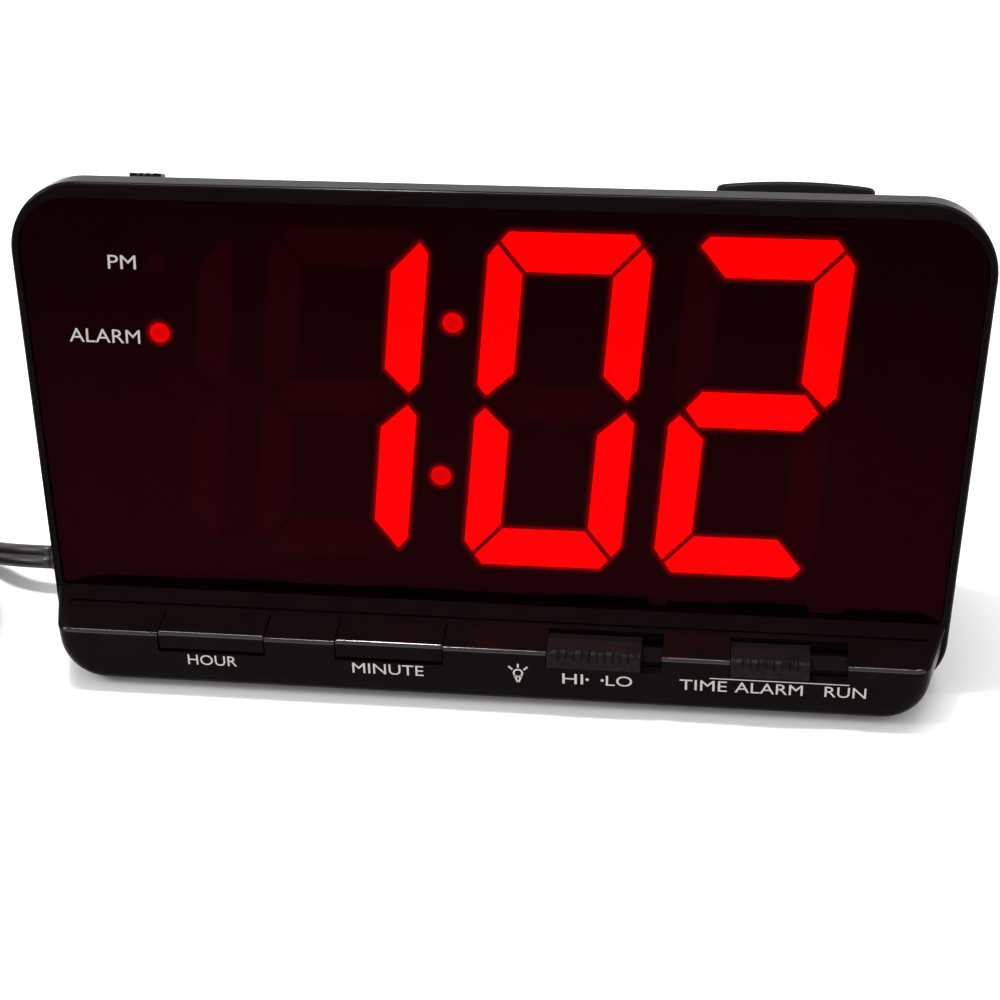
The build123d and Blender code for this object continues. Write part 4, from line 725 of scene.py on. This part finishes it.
# %% Silver ink
silver_ink, shader, place = finish("silver_ink")
flake = place.noise(0.12, 3)
feed(
    shader, height=place.noise(0.4), depth_mm=0.01,
    Base_Color=flake.between((0.30, 0.265, 0.26), (0.52, 0.47, 0.46)),
    Metallic=0.15 + 0.2 * flake, Roughness=0.4 + 0.15 * place.noise(0.8),
)
dress(silver_ink, *words, *signs)

# %% [markdown]
# ## Lead, plug, tie and feet
# The lead is soft black vinyl with a dull shine that is a little uneven along its length. The plug, the
# relief and the coil's tie are harder, with a fine grain. The feet are plain rubber.

# %% Vinyl and rubber
black_vinyl, shader, place = finish("black_vinyl_lead", Specular_IOR_Level=0.5)
feed(
    shader, height=place.noise(1.8, 3), depth_mm=0.03,
    Base_Color=place.noise(6, 3).between((0.006, 0.005, 0.005), (0.02, 0.014, 0.013)),
    Roughness=0.3 + 0.16 * place.noise(2.5, 3),
)
dress(black_vinyl, mains_lead, "mains_leads")

moulded_vinyl, shader, place = finish("moulded_vinyl")
feed(
    shader, height=place.noise(0.35, 3), depth_mm=0.05,
    Base_Color=place.noise(8).between((0.008, 0.007, 0.007), (0.018, 0.016, 0.016)),
    Roughness=0.42 + 0.2 * place.noise(1.5, 3),
)
dress(moulded_vinyl, plug_shell, relief_cone, "cord_tie")

foot_rubber, shader, place = finish("foot_rubber")
feed(
    shader, height=place.noise(0.25, 3), depth_mm=0.06,
    Base_Color=place.noise(2).between((0.02, 0.02, 0.02), (0.045, 0.043, 0.04)),
    Roughness=0.75 + 0.15 * place.noise(1),
)
dress(foot_rubber, "rubber_feet")

# %% [markdown]
# ## Metals
# The plug's blades are drawn brass with lines along their length. The screws and the bracket are zinc
# plated. The transformer's core is a stack of thin steel sheets, which shows as fine dark lines.

# %% Brass, zinc and stacked steel
drawn_brass, shader, place = finish("drawn_brass", Metallic=1.0)
lines = place.noise(0.2, 2, (0.12, 1, 1))
feed(
    shader, height=lines, depth_mm=0.01,
    Base_Color=place.noise(3).between((0.62, 0.47, 0.20), (0.80, 0.64, 0.32)),
    Roughness=0.2 + 0.2 * lines,
)
dress(drawn_brass, "plug_blades")

zinc_plate, shader, place = finish("zinc_plate", Metallic=1.0)
spangle = place.noise(0.8, 3)
feed(
    shader, height=spangle, depth_mm=0.01,
    Base_Color=spangle.between((0.48, 0.48, 0.50), (0.66, 0.66, 0.68)), Roughness=0.26 + 0.2 * spangle,
)
dress(
    zinc_plate, "case_screws", "key_board_screws", "main_board_screws", "transformer_bracket",
    "transformer_screws",
)

core_sheets, shader, place = finish("stacked_steel", Metallic=1.0)
sheet = place.node(
    "ShaderNodeTexWave", {"bands_direction": "Y"}, {"Vector": place, "Scale": 320.0, "Distortion": 0.6},
)
feed(
    shader, height=sheet, depth_mm=0.04,
    Base_Color=sheet.between((0.10, 0.10, 0.11), (0.30, 0.30, 0.32)), Roughness=0.4 + 0.2 * place.noise(2),
)
dress(core_sheets, "transformer_core")

# %% [markdown]
# ## Parts inside
# Nobody sees these until the cover is off. The boards are brown paper laminate with a faint weave, but the
# one behind the lens and the two under the top are masked in black, as are their screws, so that no tan
# edge and no bright screw shows through the red. The winding is wrapped in yellow tape, and the switches,
# the chip, the buzzer and the other small parts are black.

# %% Boards, tape, leads and small parts
board_brown, shader, place = finish("paper_laminate")
fibre = place.noise(0.6, 4, (1, 0.3, 1))
feed(
    shader, height=fibre, depth_mm=0.02,
    Base_Color=fibre.between((0.36, 0.22, 0.09), (0.52, 0.34, 0.15)), Roughness=0.45 + 0.2 * fibre,
)
dress(board_brown, "key_board", "main_board")

board_mask, shader, place = finish("black_board_mask", Specular_IOR_Level=0.05)
feed(
    shader, height=place.noise(0.5, 3), depth_mm=0.02,
    Base_Color=place.noise(2).between((0.002, 0.002, 0.002), (0.006, 0.006, 0.005)),
    Roughness=0.5 + 0.15 * place.noise(1),
)
dress(board_mask, "display_board", "snooze_board", "alarm_board", "display_screws", "top_board_screws")

yellow_tape, shader, place = finish("yellow_tape")
wrap = place.node(
    "ShaderNodeTexWave", {"bands_direction": "Z"}, {"Vector": place, "Scale": 60.0, "Distortion": 1.0},
)
feed(
    shader, height=wrap, depth_mm=0.08,
    Base_Color=wrap.between((0.62, 0.46, 0.06), (0.80, 0.63, 0.12)), Roughness=0.3 + 0.15 * wrap,
)
dress(yellow_tape, "transformer_winding")

part_black, shader, place = finish("small_part_black")
feed(
    shader, height=place.noise(0.3, 2), depth_mm=0.02,
    Base_Color=place.noise(2).between((0.012, 0.012, 0.013), (0.028, 0.028, 0.03)),
    Roughness=0.4 + 0.2 * place.noise(0.8),
)
dress(
    part_black, "key_switches", "dimmer_switch", "dimmer_lever", "mode_switch", "mode_lever",
    "snooze_switch", "alarm_switch", "alarm_lever", "clock_chip", "filter_capacitor",
    "rectifier_diodes", "buzzer", "battery_snap",
)

battery_wrap, shader, place = finish("battery_wrap")
battery_low, battery_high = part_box("backup_battery")
copper_end = place.along(lens_right).above(0.7 * battery_high[0] + 0.3 * battery_low[0], 0.4 * mm)
feed(
    shader, height=place.noise(1.5), depth_mm=0.02,
    Base_Color=copper_end.between((0.03, 0.03, 0.035), (0.55, 0.26, 0.12)),
    Roughness=0.28 + 0.12 * place.noise(2, 3), Metallic=0.1 + 0.7 * copper_end,
)
dress(battery_wrap, "backup_battery")

lead_insulation, shader, place = finish("lead_insulation")
feed(
    shader, height=place.noise(0.8), depth_mm=0.02,
    Base_Color=place.noise(4).between((0.35, 0.02, 0.015), (0.5, 0.04, 0.03)),
    Roughness=0.35 + 0.15 * place.noise(1.2),
)
dress(lead_insulation, "battery_leads")

# %% [markdown]
# ## Table, lamps and background
# The clock stands on a plain pale table under an even sky. A black glossy object shows mostly what it
# mirrors, so a long lamp overhead draws the bright line along the top edge, a small one beside it makes
# that line brighter at the left, and a weak one at the left shapes the rounded corners. The background
# is white by its own colour and not by more light on the clock. Rays that the plastic mirrors, or that
# pass through the lens, meet that same white.

# %% Pale table
table_reach = 3.0
table_mesh = bpy.data.meshes.new("table")
table_corners = [(-1, -1, 0), (1, -1, 0), (1, 1, 0), (-1, 1, 0)]
table_mesh.from_pydata((np.array(table_corners) * table_reach).tolist(), [], [(0, 1, 2, 3)])
table = bpy.data.objects.new("table", table_mesh)
scene.collection.objects.link(table)
table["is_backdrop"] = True
table_white, shader, place = finish("table_white", Roughness=0.7, Specular_IOR_Level=0.1)
feed(shader, Base_Color=place.noise(300, 2).between((0.93, 0.93, 0.93), (0.95, 0.95, 0.95)))
table.data.materials.append(table_white)

# %% Lamps and sky
def lamp(name, place, aim, size, power):
    """A lamp of that width and height in metres, at a place and turned towards its aim."""
    data = bpy.data.lights.new(name, "AREA")
    data.shape = "RECTANGLE"
    data.size, data.size_y, data.energy = *size, power
    made = bpy.data.objects.new(name, data)
    scene.collection.objects.link(made)
    made.location = place
    made.rotation_mode = "QUATERNION"
    made.rotation_quaternion = (Vector(aim) - Vector(place)).to_track_quat("-Z", "Y")


clock_middle = (0, 0, 0.05)
lamp("overhead", (0.0, 0.1, 0.9), clock_middle, (0.8, 0.07), 5.0)
lamp("window", (-0.16, 0.1, 0.9), clock_middle, (0.12, 0.05), 4.0)
lamp("left", (-0.8, -0.3, 0.6), clock_middle, (0.12, 0.3), 2.5)
world = bpy.data.worlds.new("sky")
scene.world = world
world.use_nodes = True
tree = world.node_tree
sky = tree.nodes["Background"]
sky.inputs["Color"].default_value = (1.0, 1.0, 1.0, 1.0)
sky.inputs["Strength"].default_value = 0.9
rays = tree.nodes.new("ShaderNodeLightPath")
camera_ray, glossy_ray, passing_ray = (
    Wire(tree, rays.outputs[name]) for name in ("Is Camera Ray", "Is Glossy Ray", "Is Transmission Ray")
)
seen = camera_ray + glossy_ray + passing_ray
white = seen.node("ShaderNodeBackground", {}, {"Color": (1, 1, 1, 1), "Strength": 1.0})
both = seen.node("ShaderNodeMixShader", {}, {0: seen, 1: Wire(tree, sky.outputs[0]), 2: white})
tree.links.new(both.socket, tree.nodes["World Output"].inputs["Surface"])
scene.view_settings.view_transform = "Standard"
print("lamps and sky set")

# %% [markdown]
# ## Sizes and the end
# The last cell writes the box of the solids and the box of the dressed clock side by side, so that it can
# be seen that no piece has grown past the real size.

# %% Sizes
boxes = {"cad": [list(corner) for corner in cad_box], "scene": [list(corner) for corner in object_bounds()]}
for name, box in boxes.items():
    print(name, [[round(value, 4) for value in corner] for corner in box])
